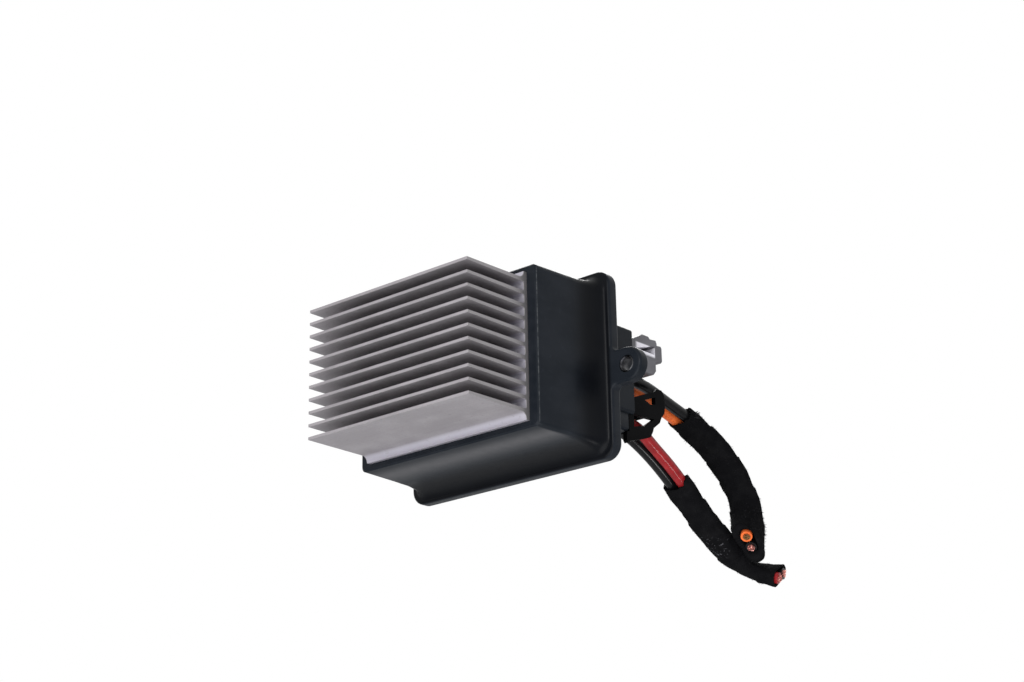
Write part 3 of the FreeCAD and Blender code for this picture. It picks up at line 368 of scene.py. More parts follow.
STEEL = plated("plated steel", (0.022, 0.022, 0.026), (0.075, 0.075, 0.08), 0.30)
TIN = plated("tinned contact", (0.58, 0.55, 0.48), (0.72, 0.70, 0.64), 0.28)
CAN = plated("can aluminium", (0.46, 0.47, 0.52), (0.60, 0.61, 0.66), 0.30)
SHUNT = plated("shunt alloy", (0.48, 0.34, 0.24), (0.60, 0.46, 0.34), 0.32)
BROWN_COPPER = plated("dulled copper", (0.13, 0.075, 0.03), (0.30, 0.17, 0.07), 0.42)
ROSE_COPPER = plated("fresh copper", (0.46, 0.15, 0.13), (0.86, 0.46, 0.40), 0.36)
print(STEEL.name, BROWN_COPPER.name, ROSE_COPPER.name)

# %% [markdown]
# ### Wire insulation
# The insulation is soft, slightly waxy and drawn out in one direction. It has faint lines along the wire,
# dust that sticks to it, and a small scuff here and there. Orange, red and black share one recipe.

# %% Wire insulation
def insulation(name, deep, clear, dusty):
    f = Finish(name, {"Specular IOR Level": 0.06, "Coat Weight": 0.25, "Coat Roughness": 0.10,
                      "Coat IOR": 1.45})
    skin = f.grain(0.25, 3.0, stretch=(1, 8, 1))
    cloud = f.grain(3.0, 4.0)
    dust = f.grain(0.7, 6.0, rough=0.7).between(0.55, 0.72)
    tone = f.mix(cloud.between(0.3, 0.7), rgb(*deep), rgb(*clear))
    tone = f.mix(dust * 0.3, tone, rgb(*dusty))
    gloss = skin * 0.12 + dust * 0.2 + 0.28
    return f.set(Base_Color=tone, Roughness=gloss, Normal=f.bump(skin, 0.012, 0.5))


ORANGE = insulation("orange insulation", (0.58, 0.103, 0.024), (0.75, 0.152, 0.034), (0.47, 0.20, 0.11))
RED = insulation("red insulation", (0.185, 0.0085, 0.0105), (0.27, 0.014, 0.017), (0.24, 0.06, 0.055))
BLACK = insulation("black insulation", (0.0025, 0.0025, 0.003), (0.005, 0.005, 0.0055), (0.02, 0.02, 0.02))
print(ORANGE.name, RED.name, BLACK.name)

# %% [markdown]
# ### Cloth tape
# Harness tape is a woven cloth with threads a third of a millimetre apart, almost black, with a short nap
# and bits of dust in it. The weave follows the tape's own UV map, in which u runs round the pair of wires
# and v along it, both in metres, turned by the slope of the winding.

# %% Cloth tape
THREAD_PITCH = 0.34
WINDING_SLOPE = math.radians(16)
SPECKS = Vector((23.5, 78.8, -41.2)) * MM  # where grey lint has rubbed into the lower tape


def cloth():
    f = Finish("cloth tape", {"Specular IOR Level": 0.02})
    uv = f.node("ShaderNodeUVMap", uv_map="wrap")
    u, v, _ = f.parts(f.node("ShaderNodeMapping", {"Vector": uv, "Rotation": (0, 0, WINDING_SLOPE)}))
    threads = math.tau / (THREAD_PITCH * MM)
    weave = (u * threads).sine() * (v * threads).sine() * 0.5 + 0.5
    nap = f.grain(0.5, 5.0, rough=0.7)
    worn = f.grain(4.0, 4.0).between(0.4, 0.7)
    dust = f.grain(0.45, 3.0, rough=0.8).between(0.70, 0.80)
    away = f.node("ShaderNodeVectorMath", {0: f.place, 1: SPECKS}, out=1, operation="DISTANCE")
    specks = f.grain(0.9, 3.0, rough=0.7).between(0.60, 0.68) * away.border(7.5, 3.0)
    tone = f.mix(weave, rgb(0.0025, 0.0025, 0.003), rgb(0.0060, 0.0060, 0.0068))
    tone = f.mix(worn * 0.5, tone, rgb(0.0085, 0.0085, 0.0092))
    tone = f.mix(dust * 0.3, tone, rgb(0.05, 0.05, 0.05))
    tone = f.mix(specks * 0.8, tone, rgb(0.13, 0.13, 0.14))
    height = weave * 0.6 + nap * 0.4
    return f.set(Base_Color=tone, Roughness=nap * 0.2 + 0.78, Normal=f.bump(height, 0.12, 0.8))


def lint():
    f = Finish("lint", {"Specular IOR Level": 0.1, "Roughness": 0.9})
    patch = f.grain(1.5, 2.0).between(0.5, 0.7)
    fine = f.grain(0.2, 3.0).between(0.4, 0.7)
    tone = f.mix(patch, rgb(0.006, 0.006, 0.007), rgb(0.020, 0.020, 0.022))
    return f.set(Base_Color=f.mix(fine * 0.4, tone, rgb(0.04, 0.04, 0.042)))


CLOTH, LINT = cloth(), lint()
print(CLOTH.name, LINT.name)

# %% [markdown]
# ## Helpers for pieces
# A piece is an object at the origin with its place in its mesh. It rides on the frame's one body.
# `soft_edged` welds a mesh, clears the lines between its flat faces and adds a small bevel, because no
# moulded or sawn edge is a knife edge.

# %% Helpers for pieces
WELD = 0.002 * MM  # points nearer than this are one point
FLAT = math.radians(0.6)  # faces that bend less than this are one face
CREASE = math.radians(35)  # edges sharper than this get a bevel


def coat(data, material):
    data.materials.clear()
    data.materials.append(material)


def add(name, data, material, stands_for=()):
    """A piece with one material, in place of the CAD nodes that it stands for."""
    piece = linked(name, data)
    coat(data, material)
    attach(piece, "root")
    if stands_for:
        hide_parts(*stands_for)
    return piece


def soft_edged(name, mesh, material, width, stands_for):
    """A piece whose sharp edges get a bevel of width millimetres."""
    shape = bmesh.new()
    shape.from_mesh(mesh)
    bmesh.ops.remove_doubles(shape, verts=shape.verts, dist=WELD)
    bmesh.ops.dissolve_limit(shape, angle_limit=FLAT, verts=shape.verts, edges=shape.edges)
    for face in shape.faces:
        face.smooth = True
    shape.to_mesh(mesh)
    shape.free()
    mesh.set_sharp_from_angle(angle=CREASE)
    piece = add(name, mesh, material, (stands_for,))
    bevel = piece.modifiers.new("soft edges", "BEVEL")
    bevel.width = width * MM
    bevel.segments = 2
    bevel.limit_method = "ANGLE"
    bevel.angle_limit = CREASE
    bevel.use_clamp_overlap = True
    bevel.harden_normals = True
    print(name, "faces before the bevel", len(mesh.polygons))


print("helpers ready")

# %% [markdown]
# Strands, fibres, tape and the heatsink's profile are drawn point by point. `joined` closes the space
# between rings of points with four-sided faces, and `thin_bar` draws one strand or fibre with it.

# %% Helpers for meshes
def meshed(name, shape):
    """The drawn shape as a mesh."""
    mesh = bpy.data.meshes.new(name)
    shape.to_mesh(mesh)
    shape.free()
    return mesh


def joined(shape, rings):
    """Faces from each ring to the next, ring by ring and round each one in turn."""
    faces = []
    for low, high in zip(rings, rings[1:]):
        for k in range(len(low)):
            after = (k + 1) % len(low)
            faces.append(shape.faces.new((low[k], low[after], high[after], high[k])))
    return faces


def thin_bar(name, sides, sections, tip=None):
    """A bar through sections of height, lean, radius and slant in millimetres, ending flat or in a tip."""
    shape = bmesh.new()
    rings = []
    for z, lean, radius, slant in sections:
        ring = []
        for k in range(sides):
            x, y = radius * math.cos(k * math.tau / sides), radius * math.sin(k * math.tau / sides)
            ring.append(shape.verts.new(Vector((x + lean, y, z + slant * x)) * MM))
        rings.append(ring)
    joined(shape, rings)
    last = rings[-1]
    if tip:
        point = shape.verts.new(Vector(tip) * MM)
        for k in range(sides):
            shape.faces.new((last[k], last[(k + 1) % sides], point))
    else:
        shape.faces.new(last)
    shape.faces.new(rings[0][::-1])
    return meshed(name, shape)


print("mesh helpers ready")

# %% [markdown]
# ## Wires
# Two wires leave the plug side by side in each row, run through the guide and are taped together. The
# route of each pair is its middle line, and each wire keeps to one side of it, turned with the bends and
# by the twist of the pair. A NURBS line takes these points as its control points, so the wire is smooth.

# %% Routes of the two pairs
UPPER_ROUTE = [(26.4, 20.0, 6.2), (26.4, 33.0, 6.2), (26.4, 50.0, 2.6), (27.2, 68.0, -2.8),
               (28.5, 80.6, -11.0), (29.6, 88.2, -19.8), (31.5, 90.1, -27.9), (33.9, 87.7, -35.5),
               (36.2, 82.4, -41.3)]
LOWER_ROUTE = [(26.4, 20.0, -9.3), (26.4, 29.6, -9.3), (26.4, 39.6, -14.0), (26.4, 51.0, -20.2),
               (24.6, 67.4, -29.6), (23.7, 80.7, -39.1), (25.7, 89.1, -45.6), (31.3, 94.0, -49.7),
               (39.3, 96.3, -51.5)]
UPPER_TWIST = (0, 0, 0, -12, -28, -50, -75, -100, -118)  # in degrees at each point
LOWER_TWIST = (0, 0, 0, 0, 2, 8, 24, 50, 70)
CONTACT_SPREAD, PAIR_SPREAD = 3.4, 2.2  # half the distance of two wires, in the plug and in the tape
SPREAD = (CONTACT_SPREAD,) * 2 + (PAIR_SPREAD,) * 7
UPPER_PAIR, LOWER_PAIR = ("orange", "upper_black"), ("red", "lower_black")


def beside(route, twist, side):
    """The points of one wire of a pair, in metres; side is -1 or 1."""
    route = [Vector(p) * MM for p in route]
    runs = [(b - a).normalized() for a, b in zip(route, route[1:])]
    runs = runs[:1] + runs + runs[-1:]
    across = Vector((side, 0, 0))
    points = []
    for i, point in enumerate(route):
        heading = (runs[i] + runs[i + 1]).normalized()
        flat = runs[i].rotation_difference(heading) @ across
        points.append(point + Quaternion(heading, math.radians(twist[i])) @ flat * SPREAD[i] * MM)
        across = runs[i].rotation_difference(runs[i + 1]) @ across
    return points


WIRES = {
    "orange": (beside(UPPER_ROUTE, UPPER_TWIST, -1), ORANGE, "orange_cable"),
    "upper_black": (beside(UPPER_ROUTE, UPPER_TWIST, 1), BLACK, "black_cable"),
    "red": (beside(LOWER_ROUTE, LOWER_TWIST, 1), RED, "red_cable"),
    "lower_black": (beside(LOWER_ROUTE, LOWER_TWIST, -1), BLACK, "black_cable"),
}
print("wires", list(WIRES))

# %% [markdown]
# A free wire has no corners, so each one is a NURBS curve of order 3 whose ends reach its first and last
# points. The curve is read once while it is still a bare line, because the strands and the tape follow it,
# and gets its round section after that.

# %% Wires as smooth lines
WIRE_DIAMETER = 4.0


def smooth_curve(name, points):
    curve = bpy.data.curves.new(name, "CURVE")
    curve.dimensions = "3D"
    curve.resolution_u = 16
    line = curve.splines.new("NURBS")
    line.points.add(len(points) - 1)
    for target, point in zip(line.points, points):
        target.co = (*point, 1.0)
        target.radius = WIRE_DIAMETER / 2 * MM
    line.order_u = 3
    line.use_endpoint_u = True
    return curve


def read_line(piece):
    """Points read from the spline while it has no thickness."""
    line = bpy.data.meshes.new_from_object(piece)
    points = [v.co.copy() for v in line.vertices]
    bpy.data.meshes.remove(line)
    return points


def measured(points):
    return sum((b - a).length for a, b in zip(points, points[1:]))


leads, lines = {}, {}
for name, (points, material, slot) in WIRES.items():
    lead = add(name + "_lead", smooth_curve(name + "_lead", points), material, (name + "_wire",))
    lines[name] = read_line(lead)
    lead.data.bevel_depth = 1.0  # times each point's radius
    lead.data.bevel_resolution = 7
    lead.data.use_fill_caps = True
    leads[name] = lead
    print(name, "length", round(measured(lines[name]) / MM, 1), "mm")

# %% [markdown]
# ## Copper in the cut ends
# Each wire was cut off square, and its strands stand out a little, not all by the same amount. Geometry
# Nodes suit this: rings of points, one strand at each point, a random length for each, and one turn of the
# whole bundle to the wire's end. `group` and `settle` serve the lint and the heatsink too.

# %% Groups of Geometry Nodes
def group(name, inputs):
    """A Geometry Nodes group with a geometry in and out, and inputs by name, kind and default."""
    made = bpy.data.node_groups.new(name, "GeometryNodeTree")
    for label, (kind, value) in {"Geometry": ("Geometry", None), **inputs}.items():
        socket = made.interface.new_socket(label, in_out="INPUT", socket_type="NodeSocket" + kind)
        if value is not None:
            socket.default_value = value
    made.interface.new_socket("Geometry", in_out="OUTPUT", socket_type="NodeSocketGeometry")
    tree = Tree(made)
    entry = made.nodes.new("NodeGroupInput")
    return tree, {socket.name: Link(tree, socket) for socket in entry.outputs if socket.name}


def settle(mesh, made, values):
    """The plain mesh that a group makes of a mesh, with its inputs set by name."""
    carrier = linked("carrier", mesh)
    modifier = carrier.modifiers.new("made", "NODES")
    modifier.node_group = made
    for item in made.interface.items_tree:
        if item.in_out == "INPUT" and item.name in values:
            modifier[item.identifier] = values[item.name]
    bpy.context.view_layer.update()
    view = bpy.context.evaluated_depsgraph_get()
    result = bpy.data.meshes.new_from_object(carrier.evaluated_get(view))
    bpy.data.objects.remove(carrier)
    return result


print("groups ready")

# %% [markdown]
# A strand is only a thin six-sided bar with a sheared tip. One strand stands in the middle of a core and
# two rings of strands stand round it.

# %% Copper strands
CORE_DIAMETER = 2.5
CORE_STICK = 0.9  # how far the copper stands out of the wire
STRAND_RADIUS = 0.24
STRAND_RINGS = ((6, 0.44), (12, 0.84))  # strands in a ring, and the ring's share of the core's radius
LEAN = 0.12  # most that a strand leans, in radians
SHORTEST = 0.45  # of the full length


def strand_group():
    tree, given = group("strand bundle", {
        "Core radius": ("Float", CORE_DIAMETER / 2 * MM), "Place": ("Vector", (0, 0, 0)),
        "Turn": ("Vector", (0, 0, 0)), "Seed": ("Int", 1), "Finish": ("Material", None)})
    rings = [tree.node("GeometryNodeMeshLine", {"Count": 1})]
    for count, share in STRAND_RINGS:
        rings.append(tree.node("GeometryNodeMeshCircle", {"Vertices": count,
                                                          "Radius": given["Core radius"] * share}))
    tilt = tree.node("FunctionNodeRandomValue", {0: (-LEAN, -LEAN, 0.0), 1: (LEAN, LEAN, 6.2),
                                                 "Seed": given["Seed"]}, data_type="FLOAT_VECTOR")
    long = tree.node("FunctionNodeRandomValue", {2: SHORTEST, 3: 1.0, "Seed": given["Seed"] + 7}, out=1,
                     data_type="FLOAT")
    size = tree.node("ShaderNodeCombineXYZ", {0: 1.0, 1: 1.0, 2: long})
    placed = tree.node("GeometryNodeInstanceOnPoints", {
        "Points": tree.join(reversed(rings)), "Instance": given["Geometry"], "Rotation": tilt, "Scale": size})
    moved = tree.node("GeometryNodeTransform", {"Geometry": placed, "Translation": given["Place"],
                                                "Rotation": given["Turn"]})
    return tree.give(tree.node("GeometryNodeRealizeInstances", {"Geometry": moved}), given["Finish"])


print("a core has", 1 + sum(count for count, _ in STRAND_RINGS), "strands")

# %% [markdown]
# The orange wire's copper has dulled to brown, and the other three show the rose of a fresh cut.

# %% Strands in the four ends
STRANDS = strand_group()
strand = thin_bar("strand", 6, ((-0.5, 0, STRAND_RADIUS, 0), (CORE_STICK * 0.85, 0, STRAND_RADIUS, 0.1),
                                (CORE_STICK, 0, STRAND_RADIUS * 0.7, 0.35)))
for seed, (name, line) in enumerate(lines.items(), start=3):
    metal = BROWN_COPPER if name == "orange" else ROSE_COPPER
    heading = (line[-1] - line[-2]).normalized()
    mesh = settle(strand, STRANDS, {
        "Core radius": CORE_DIAMETER / 2 * MM, "Place": list(line[-1]),
        "Turn": list(heading.to_track_quat("Z", "Y").to_euler()), "Seed": seed, "Finish": metal})
    mesh.name = name + "_strands"
    add(name + "_strands", mesh, metal, (name + "_core",))
    print(name, "strand faces", len(mesh.polygons))

# %% [markdown]
# ## Cloth tape round each pair
# The tape is wound by hand in an uneven spiral, so its outside has corners rather than a smooth curve. One
# skin follows both wires: at each station it is the oval round the two, its radius grows and drops with
# the turn of the tape, and slow noise adds lumps. Both ends turn in, and the cut end is slanted.

# %% Stations along a pair
def pair_length(pair):
    """Mean length of the two wires, in millimetres."""
    return sum(measured(lines[name]) for name in pair) / 2 / MM


def station(pair, share):
    """Middle, across and heading of the pair at a share of its length, and half the wires' distance."""
    found = []
    for line in (lines[name] for name in pair):
        goal = share * measured(line)
        for a, b in zip(line, line[1:]):
            step = (b - a).length
            if goal <= step or b is line[-1]:
                found.append((a.lerp(b, goal / step), (b - a).normalized()))
                break
            goal -= step
    (a, heading_a), (b, heading_b) = found
    heading = (heading_a + heading_b).normalized()
    across = (b - a) - heading * (b - a).dot(heading)
    return (a + b) / 2, across.normalized(), heading, across.length / 2


print("pairs", round(pair_length(UPPER_PAIR), 1), round(pair_length(LOWER_PAIR), 1), "mm")

# %% [markdown]
# The outside shows the edge of each turn on the one below and lumps of slow noise. `fade` and `facing` are
# for what happens near one end or on one side.

# %% Shape of the winding
WINDING = 0.48  # height of the tape's edge on the turn below
LUMPS = ((1, 0.42), (2.7, 0.20), (14, 0.07))  # how fine each layer of noise is, and how high


def tape_edge(distance, around, pitch, seed):
    """Height of the winding: each turn starts high and falls away, in steps of uneven length."""
    uneven = distance + noise.noise(Vector((distance * 0.09, seed, 0.0))) * pitch * 0.5
    turn = (uneven / pitch + around) % 1.0
    return (1 - turn) * min(1.0, turn / 0.06)


def fade(distance, reach):
    """1 at the end of the tape, falling to 0 at reach millimetres from it."""
    return max(0.0, 1 - distance / reach)


def facing(angle, side):
    """1 on the side given in degrees, falling to 0 a quarter of a turn away."""
    return max(0.0, math.cos(angle - math.radians(side)))


print("turns stand", WINDING, "mm high")

# %% [markdown]
# The skin is built ring by ring along the stations. The first and last rings tuck in against the wires, so
# the tape has a thickness where it ends. Its UV map is laid at the same time.

# %% Wound tape
TAPE_THICK = 1.4
SKIN = WIRE_DIAMETER / 2 + TAPE_THICK - 0.55  # lowest radius of the tape round a wire
AROUND = 80  # points in a ring
RING_STEP = 0.3  # from one ring to the next
FLAP_SIDE = 14  # the side of the cut end left longest, in degrees
TUCK = 2.0  # how far an end reaches back under the tape
GIRTH = (math.tau * 3.2 + 4 * PAIR_SPREAD) * MM  # the way round, for the UV map


def wound_tape(name, pair, start, stop, pitch, slant, lead_in, seed, bulge):
    """slant lengthens one side of the cut end, lead_in the first wire's side of the start; bulge is a looser
    stretch: its middle, half length, side in degrees and height."""
    whole = pair_length(pair)
    bulge_middle, bulge_half, bulge_side, bulge_height = bulge
    shape = bmesh.new()
    rings, marks = [], []

    def ring_at(distance, tucked=0.0):
        middle, across, heading, half = station(pair, distance / whole)
        thin = heading.cross(across).normalized()
        bulged = bulge_height * max(0.0, 1 - ((distance - bulge_middle) / bulge_half) ** 2)
        ring = []
        for k in range(AROUND):
            angle = math.tau * k / AROUND
            c, s = math.cos(angle), math.sin(angle)
            spot = Vector((distance * 0.13, c * 0.9, s * 0.9 + seed))
            lump = sum(noise.noise(spot * fine) * high for fine, high in LUMPS)
            rise = tape_edge(distance, k / AROUND, pitch, seed) * WINDING + lump
            flap = facing(angle, FLAP_SIDE) ** 0.8 * fade(stop - distance, 9.0) ** 2 * slant
            loose = bulged * facing(angle, bulge_side) ** 1.5
            reach = (tucked or SKIN + rise + flap * 0.75 + loose) * MM
            ragged = noise.noise(Vector((c * 3.0, s * 3.0, seed))) * 0.9 * fade(distance - start, 3.0)
            along = flap - ragged - lead_in * max(0.0, -c) * fade(distance - start, 6.0)
            sideways = half * math.tanh(c * 3.2) + reach * c
            ring.append(shape.verts.new(middle + across * sideways + thin * reach * s + heading * along * MM))
        rings.append(ring)
        marks.append(distance)

    wire, count = WIRE_DIAMETER / 2, int((stop - start) / RING_STEP)
    ring_at(start + TUCK, wire + 0.12)
    ring_at(start + 0.05, wire + 0.4)
    for i in range(count + 1):
        ring_at(start + (stop - start) * i / count)
    ring_at(stop - 0.05, wire + 0.5)
    ring_at(stop - TUCK, wire + 0.12)

    layer = shape.loops.layers.uv.new("wrap")
    for n, face in enumerate(joined(shape, rings)):
        face.smooth = True
        row, column = divmod(n, AROUND)
        for loop, (right, up) in zip(face.loops, ((0, 0), (1, 0), (1, 1), (0, 1))):
            loop[layer].uv = ((column + right) / AROUND * GIRTH, marks[row + up] * MM)
    bmesh.ops.recalc_face_normals(shape, faces=shape.faces)
    print(name, "faces", len(shape.faces), "tape from", start, "to", round(stop, 1), "mm")
    return meshed(name, shape)


print("points in a ring", AROUND, "every", RING_STEP, "mm")

# %% [markdown]
# The upper sleeve ends in a slanted flap and is loose near it. The lower one starts nearer the plug on one
# side, is loose about halfway and ends almost square. The wires stand out of both.

# %% Both sleeves
TAPE_SHORT = 1.0  # how far the wires stand out
upper_end, lower_end = (pair_length(pair) - TAPE_SHORT for pair in (UPPER_PAIR, LOWER_PAIR))
upper_skin = wound_tape("upper_wrap", UPPER_PAIR, start=39.5, stop=upper_end, pitch=13.0, slant=3.1,
                        lead_in=0.0, seed=3.0, bulge=(upper_end - 4.0, 19.0, 225.0, 2.3))
lower_skin = wound_tape("lower_wrap", LOWER_PAIR, start=40.5, stop=lower_end, pitch=14.0, slant=0.6,
                        lead_in=2.4, seed=11.0, bulge=(lower_end - 24.0, 14.0, 90.0, 1.5))

# %% [markdown]
# ### Lint on the tape
# Short black fibres stand out of the cloth and show against the light at its edges. Geometry Nodes spread
# points over the tape, more of them inside a ball where the cloth is frayed, put one bent fibre on each
# with its own size and lean, and turn them into plain mesh.

# %% Lint on the tape
PER_MM2 = 1e6  # fibres per square metre for one per square millimetre


def lint_group():
    tree, given = group("lint", {
        "Fibre": ("Object", None), "Finish": ("Material", None),
        "Density": ("Float", 0.4 * PER_MM2), "Frayed density": ("Float", 2.0 * PER_MM2),
        "Frayed place": ("Vector", (0, 0, 0)), "Frayed radius": ("Float", 3 * MM),
        "Longest": ("Float", 1.0), "Seed": ("Int", 1)})
    position = tree.node("GeometryNodeInputPosition")
    away = tree.node("ShaderNodeVectorMath", {0: position, 1: given["Frayed place"]}, out=1,
                     operation="DISTANCE")
    density = given["Density"] + away.below(given["Frayed radius"]) * given["Frayed density"]
    spread = tree.node("GeometryNodeDistributePointsOnFaces", {
        "Mesh": given["Geometry"], "Density": density, "Seed": given["Seed"]})
    lean = tree.node("FunctionNodeRandomValue", {0: (-0.7, -0.7, 0.0), 1: (0.7, 0.7, 6.28),
                                                 "Seed": given["Seed"] + 3}, data_type="FLOAT_VECTOR")
    turn = tree.node("FunctionNodeRotateRotation", {0: spread.also("Rotation"), 1: lean},
                     rotation_space="LOCAL")
    size = tree.node("FunctionNodeRandomValue", {2: 0.35, 3: given["Longest"], "Seed": given["Seed"] + 5},
                     out=1, data_type="FLOAT")
    fibre = tree.node("GeometryNodeObjectInfo", {"Object": given["Fibre"]}, out="Geometry")
    placed = tree.node("GeometryNodeInstanceOnPoints", {
        "Points": spread, "Instance": fibre, "Rotation": turn, "Scale": size})
    return tree.give(tree.node("GeometryNodeRealizeInstances", {"Geometry": placed}), given["Finish"])


FUZZ = lint_group()
print("lint group ready")

# %% [markdown]
# Both sleeves have some lint all over and more at one frayed place. A tuft of long fibres stands out at the
# side of the upper sleeve.

# %% Lint on both sleeves
fibre = linked("fibre", thin_bar("fibre", 3, ((-0.1, 0.0, 0.055, 0), (0.22, 0.04, 0.045, 0),
                                              (0.45, 0.16, 0.03, 0)), tip=(0.34, 0.0, 0.62)))
middle, across, _, half = station(UPPER_PAIR, 0.415)
TUFT = tuple((middle + across * (half + 3.0 * MM)) / MM)
fuzz = {}
for name, skin, usual, frayed, place, radius, longest, seed in (
        ("upper", upper_skin, 0.35, 1.6, (36.0, 89.0, -32.4), 6.0, 1.5, 21),
        ("lower", lower_skin, 0.35, 1.2, (24.5, 60.8, -26.0), 3.5, 1.1, 22),
        ("tuft", upper_skin, 0.0, 12.0, TUFT, 1.1, 2.6, 23)):
    fuzz[name] = settle(skin, FUZZ, {
        "Fibre": fibre, "Finish": LINT, "Density": usual * PER_MM2, "Frayed density": frayed * PER_MM2,
        "Frayed place": [c * MM for c in place], "Frayed radius": radius * MM, "Longest": longest,
        "Seed": seed})
    fuzz[name].name = name + "_lint"
    print(name, "lint faces", len(fuzz[name].polygons))
bpy.data.objects.remove(fibre)

upper_wrap = add("upper_wrap", upper_skin, CLOTH, ("upper_tape",))
lower_wrap = add("lower_wrap", lower_skin, CLOTH, ("lower_tape",))
upper_lint = add("upper_lint", fuzz["upper"], LINT)
lower_lint = add("lower_lint", fuzz["lower"], LINT)
tuft = add("upper_tuft", fuzz["tuft"], LINT)

# %% [markdown]
# ### The four wires
# The loop measures each wire's length again without keeping it, and prints how many wires there are.

# %% Cords
for name, (points, _, _) in WIRES.items():
    measured(lines[name])
print("cords", len(WIRES))

# %% [markdown]
# ## Heatsink
# The real heatsink is pushed through a die and sawn to length, so its section follows a rule: ten equal
# valleys between eleven fins, and a wider rounded step outside the first and the last fin. Only one valley
# and one edge are drawn here. They leave out the walls where they meet their neighbours, halfway through a
# fin, so that the copies weld to one closed shell.

# %% One valley and one edge of the profile
BASE_BACK, FIN_TIPS = -25.0, -57.3
FIN_COUNT, FIN_PITCH = 11, 4.3
FIN_MARGIN = 2.9  # from the middle of the outermost fin to the edge of the base plate
FIN_TIP, FIN_ROOT = 1.0, 1.35  # how thick a fin is there
FIN_FILLET, OUTER_FILLET = 0.55, 2.1  # in the valleys and outside the outermost fins


def half_fin(floor, fillet, steps):
    """The lower side of a fin whose middle is at z = 0, from its tip down to the floor beside it."""
    side = [(FIN_TIPS, 0.0), (FIN_TIPS, -FIN_TIP / 2)]
    for k in range(steps + 1):
        angle = math.pi / 2 * (1 - k / steps)
        side.append((BASE_FRONT - fillet + fillet * math.cos(angle),
                     fillet * (math.sin(angle) - 1) - FIN_ROOT / 2))
    return side + [(BASE_FRONT, -floor)]


def drawn_length(section, open_runs):
    """The profile between its two sawn ends, with no wall on the runs that meet a neighbour."""
    shape = bmesh.new()
    far, near = ([shape.verts.new(Vector((x, y, z)) * MM) for y, z in section]
                 for x in (-SINK_WIDTH / 2, SINK_WIDTH / 2))
    for k in range(len(section)):
        if k not in open_runs:
            after = (k + 1) % len(section)
            shape.faces.new((far[k], far[after], near[after], near[k]))
    shape.faces.new(far[::-1])
    shape.faces.new(near)
    return meshed("profile", shape)


upper_side = [(y, z + FIN_PITCH / 2) for y, z in half_fin(FIN_PITCH / 2, FIN_FILLET, 4)][:-1]
lower_side = [(y, -z) for y, z in reversed(upper_side)]
valley_section = [(BASE_BACK, -FIN_PITCH / 2), (BASE_BACK, FIN_PITCH / 2)] + upper_side + lower_side
edge_section = [(BASE_BACK, -FIN_MARGIN), (BASE_BACK, 0.0)] + half_fin(FIN_MARGIN, OUTER_FILLET, 8)
valley = drawn_length(valley_section, (1, len(valley_section) - 1))
edge = drawn_length(edge_section, (1,))
print("valley corners", len(valley_section), "edge corners", len(edge_section))

# %% [markdown]
# The tree puts a valley at each point of one line and an edge at each of the two points of another, the
# second one turned over, welds them and takes away the rods of the blind holes. Count, pitch and height are
# inputs, so another heatsink is one call away.

# %% Profile repeated by Geometry Nodes
SINK_MIDDLE = 2.4  # height of the middle fin


def profile_group():
    tree, given = group("extruded profile", {
        "Edge": ("Object", None), "Rods": ("Object", None),
        "Fin count": ("Int", FIN_COUNT), "Fin pitch": ("Float", FIN_PITCH * MM),
        "Middle height": ("Float", 0.0), "Finish": ("Material", None)})
    count, pitch, height = given["Fin count"], given["Fin pitch"], given["Middle height"]
    edge_shape, rods = (tree.node("GeometryNodeObjectInfo", {"Object": given[name]}, out="Geometry")
                        for name in ("Edge", "Rods"))

    def upright(z):
        return tree.node("ShaderNodeCombineXYZ", {2: z})

    valleys = tree.node("GeometryNodeMeshLine", {
        "Count": count - 1, "Start Location": upright(height - (count - 2) * pitch * 0.5),
        "Offset": upright(pitch)})
    ends = tree.node("GeometryNodeMeshLine", {
        "Count": 2, "Start Location": upright(height - (count - 1) * pitch * 0.5),
        "Offset": upright((count - 1) * pitch)})
    turned_over = tree.node("ShaderNodeCombineXYZ", {1: tree.node("GeometryNodeInputIndex") * math.pi})
    body = tree.node("GeometryNodeInstanceOnPoints", {"Points": valleys, "Instance": given["Geometry"]})
    edges = tree.node("GeometryNodeInstanceOnPoints", {"Points": ends, "Instance": edge_shape,
                                                       "Rotation": turned_over})
    real = tree.node("GeometryNodeRealizeInstances", {"Geometry": tree.join((body, edges))})
    welded = tree.node("GeometryNodeMergeByDistance", {"Geometry": real, "Distance": WELD})
    drilled = tree.node("GeometryNodeMeshBoolean", {"Mesh 1": welded, "Mesh 2": rods},
                        operation="DIFFERENCE", solver="EXACT")
    return tree.give(drilled, given["Finish"])


print("one rule for", FIN_COUNT, "fins")

# %% [markdown]
# Two long screws from the back of the housing and the screw of the clip bite into the base plate. The rods
# for their holes start a little behind the plate, so that no thin skin is left over a hole.

# %% Drilled and softened heatsink
SCREW_HOLES = ((0.0, -16.9, 2.1, 3.8), (0.0, 21.7, 2.1, 3.8), (0.0, 3.4, 1.6, 3.6))  # x, z, radius, depth


def hole_rods():
    """Rods where the blind holes go, from 1 mm behind the plate to their depth."""
    shape = bmesh.new()
    for x, z, radius, depth in SCREW_HOLES:
        middle = Vector((x, BASE_BACK + (1.0 - depth) / 2, z)) * MM
        bmesh.ops.create_cone(shape, cap_ends=True, segments=32, radius1=radius * MM, radius2=radius * MM,
                              depth=(depth + 1.0) * MM,
                              matrix=Matrix.Translation(middle) @ Matrix.Rotation(math.pi / 2, 4, "X"))
    return meshed("rods", shape)


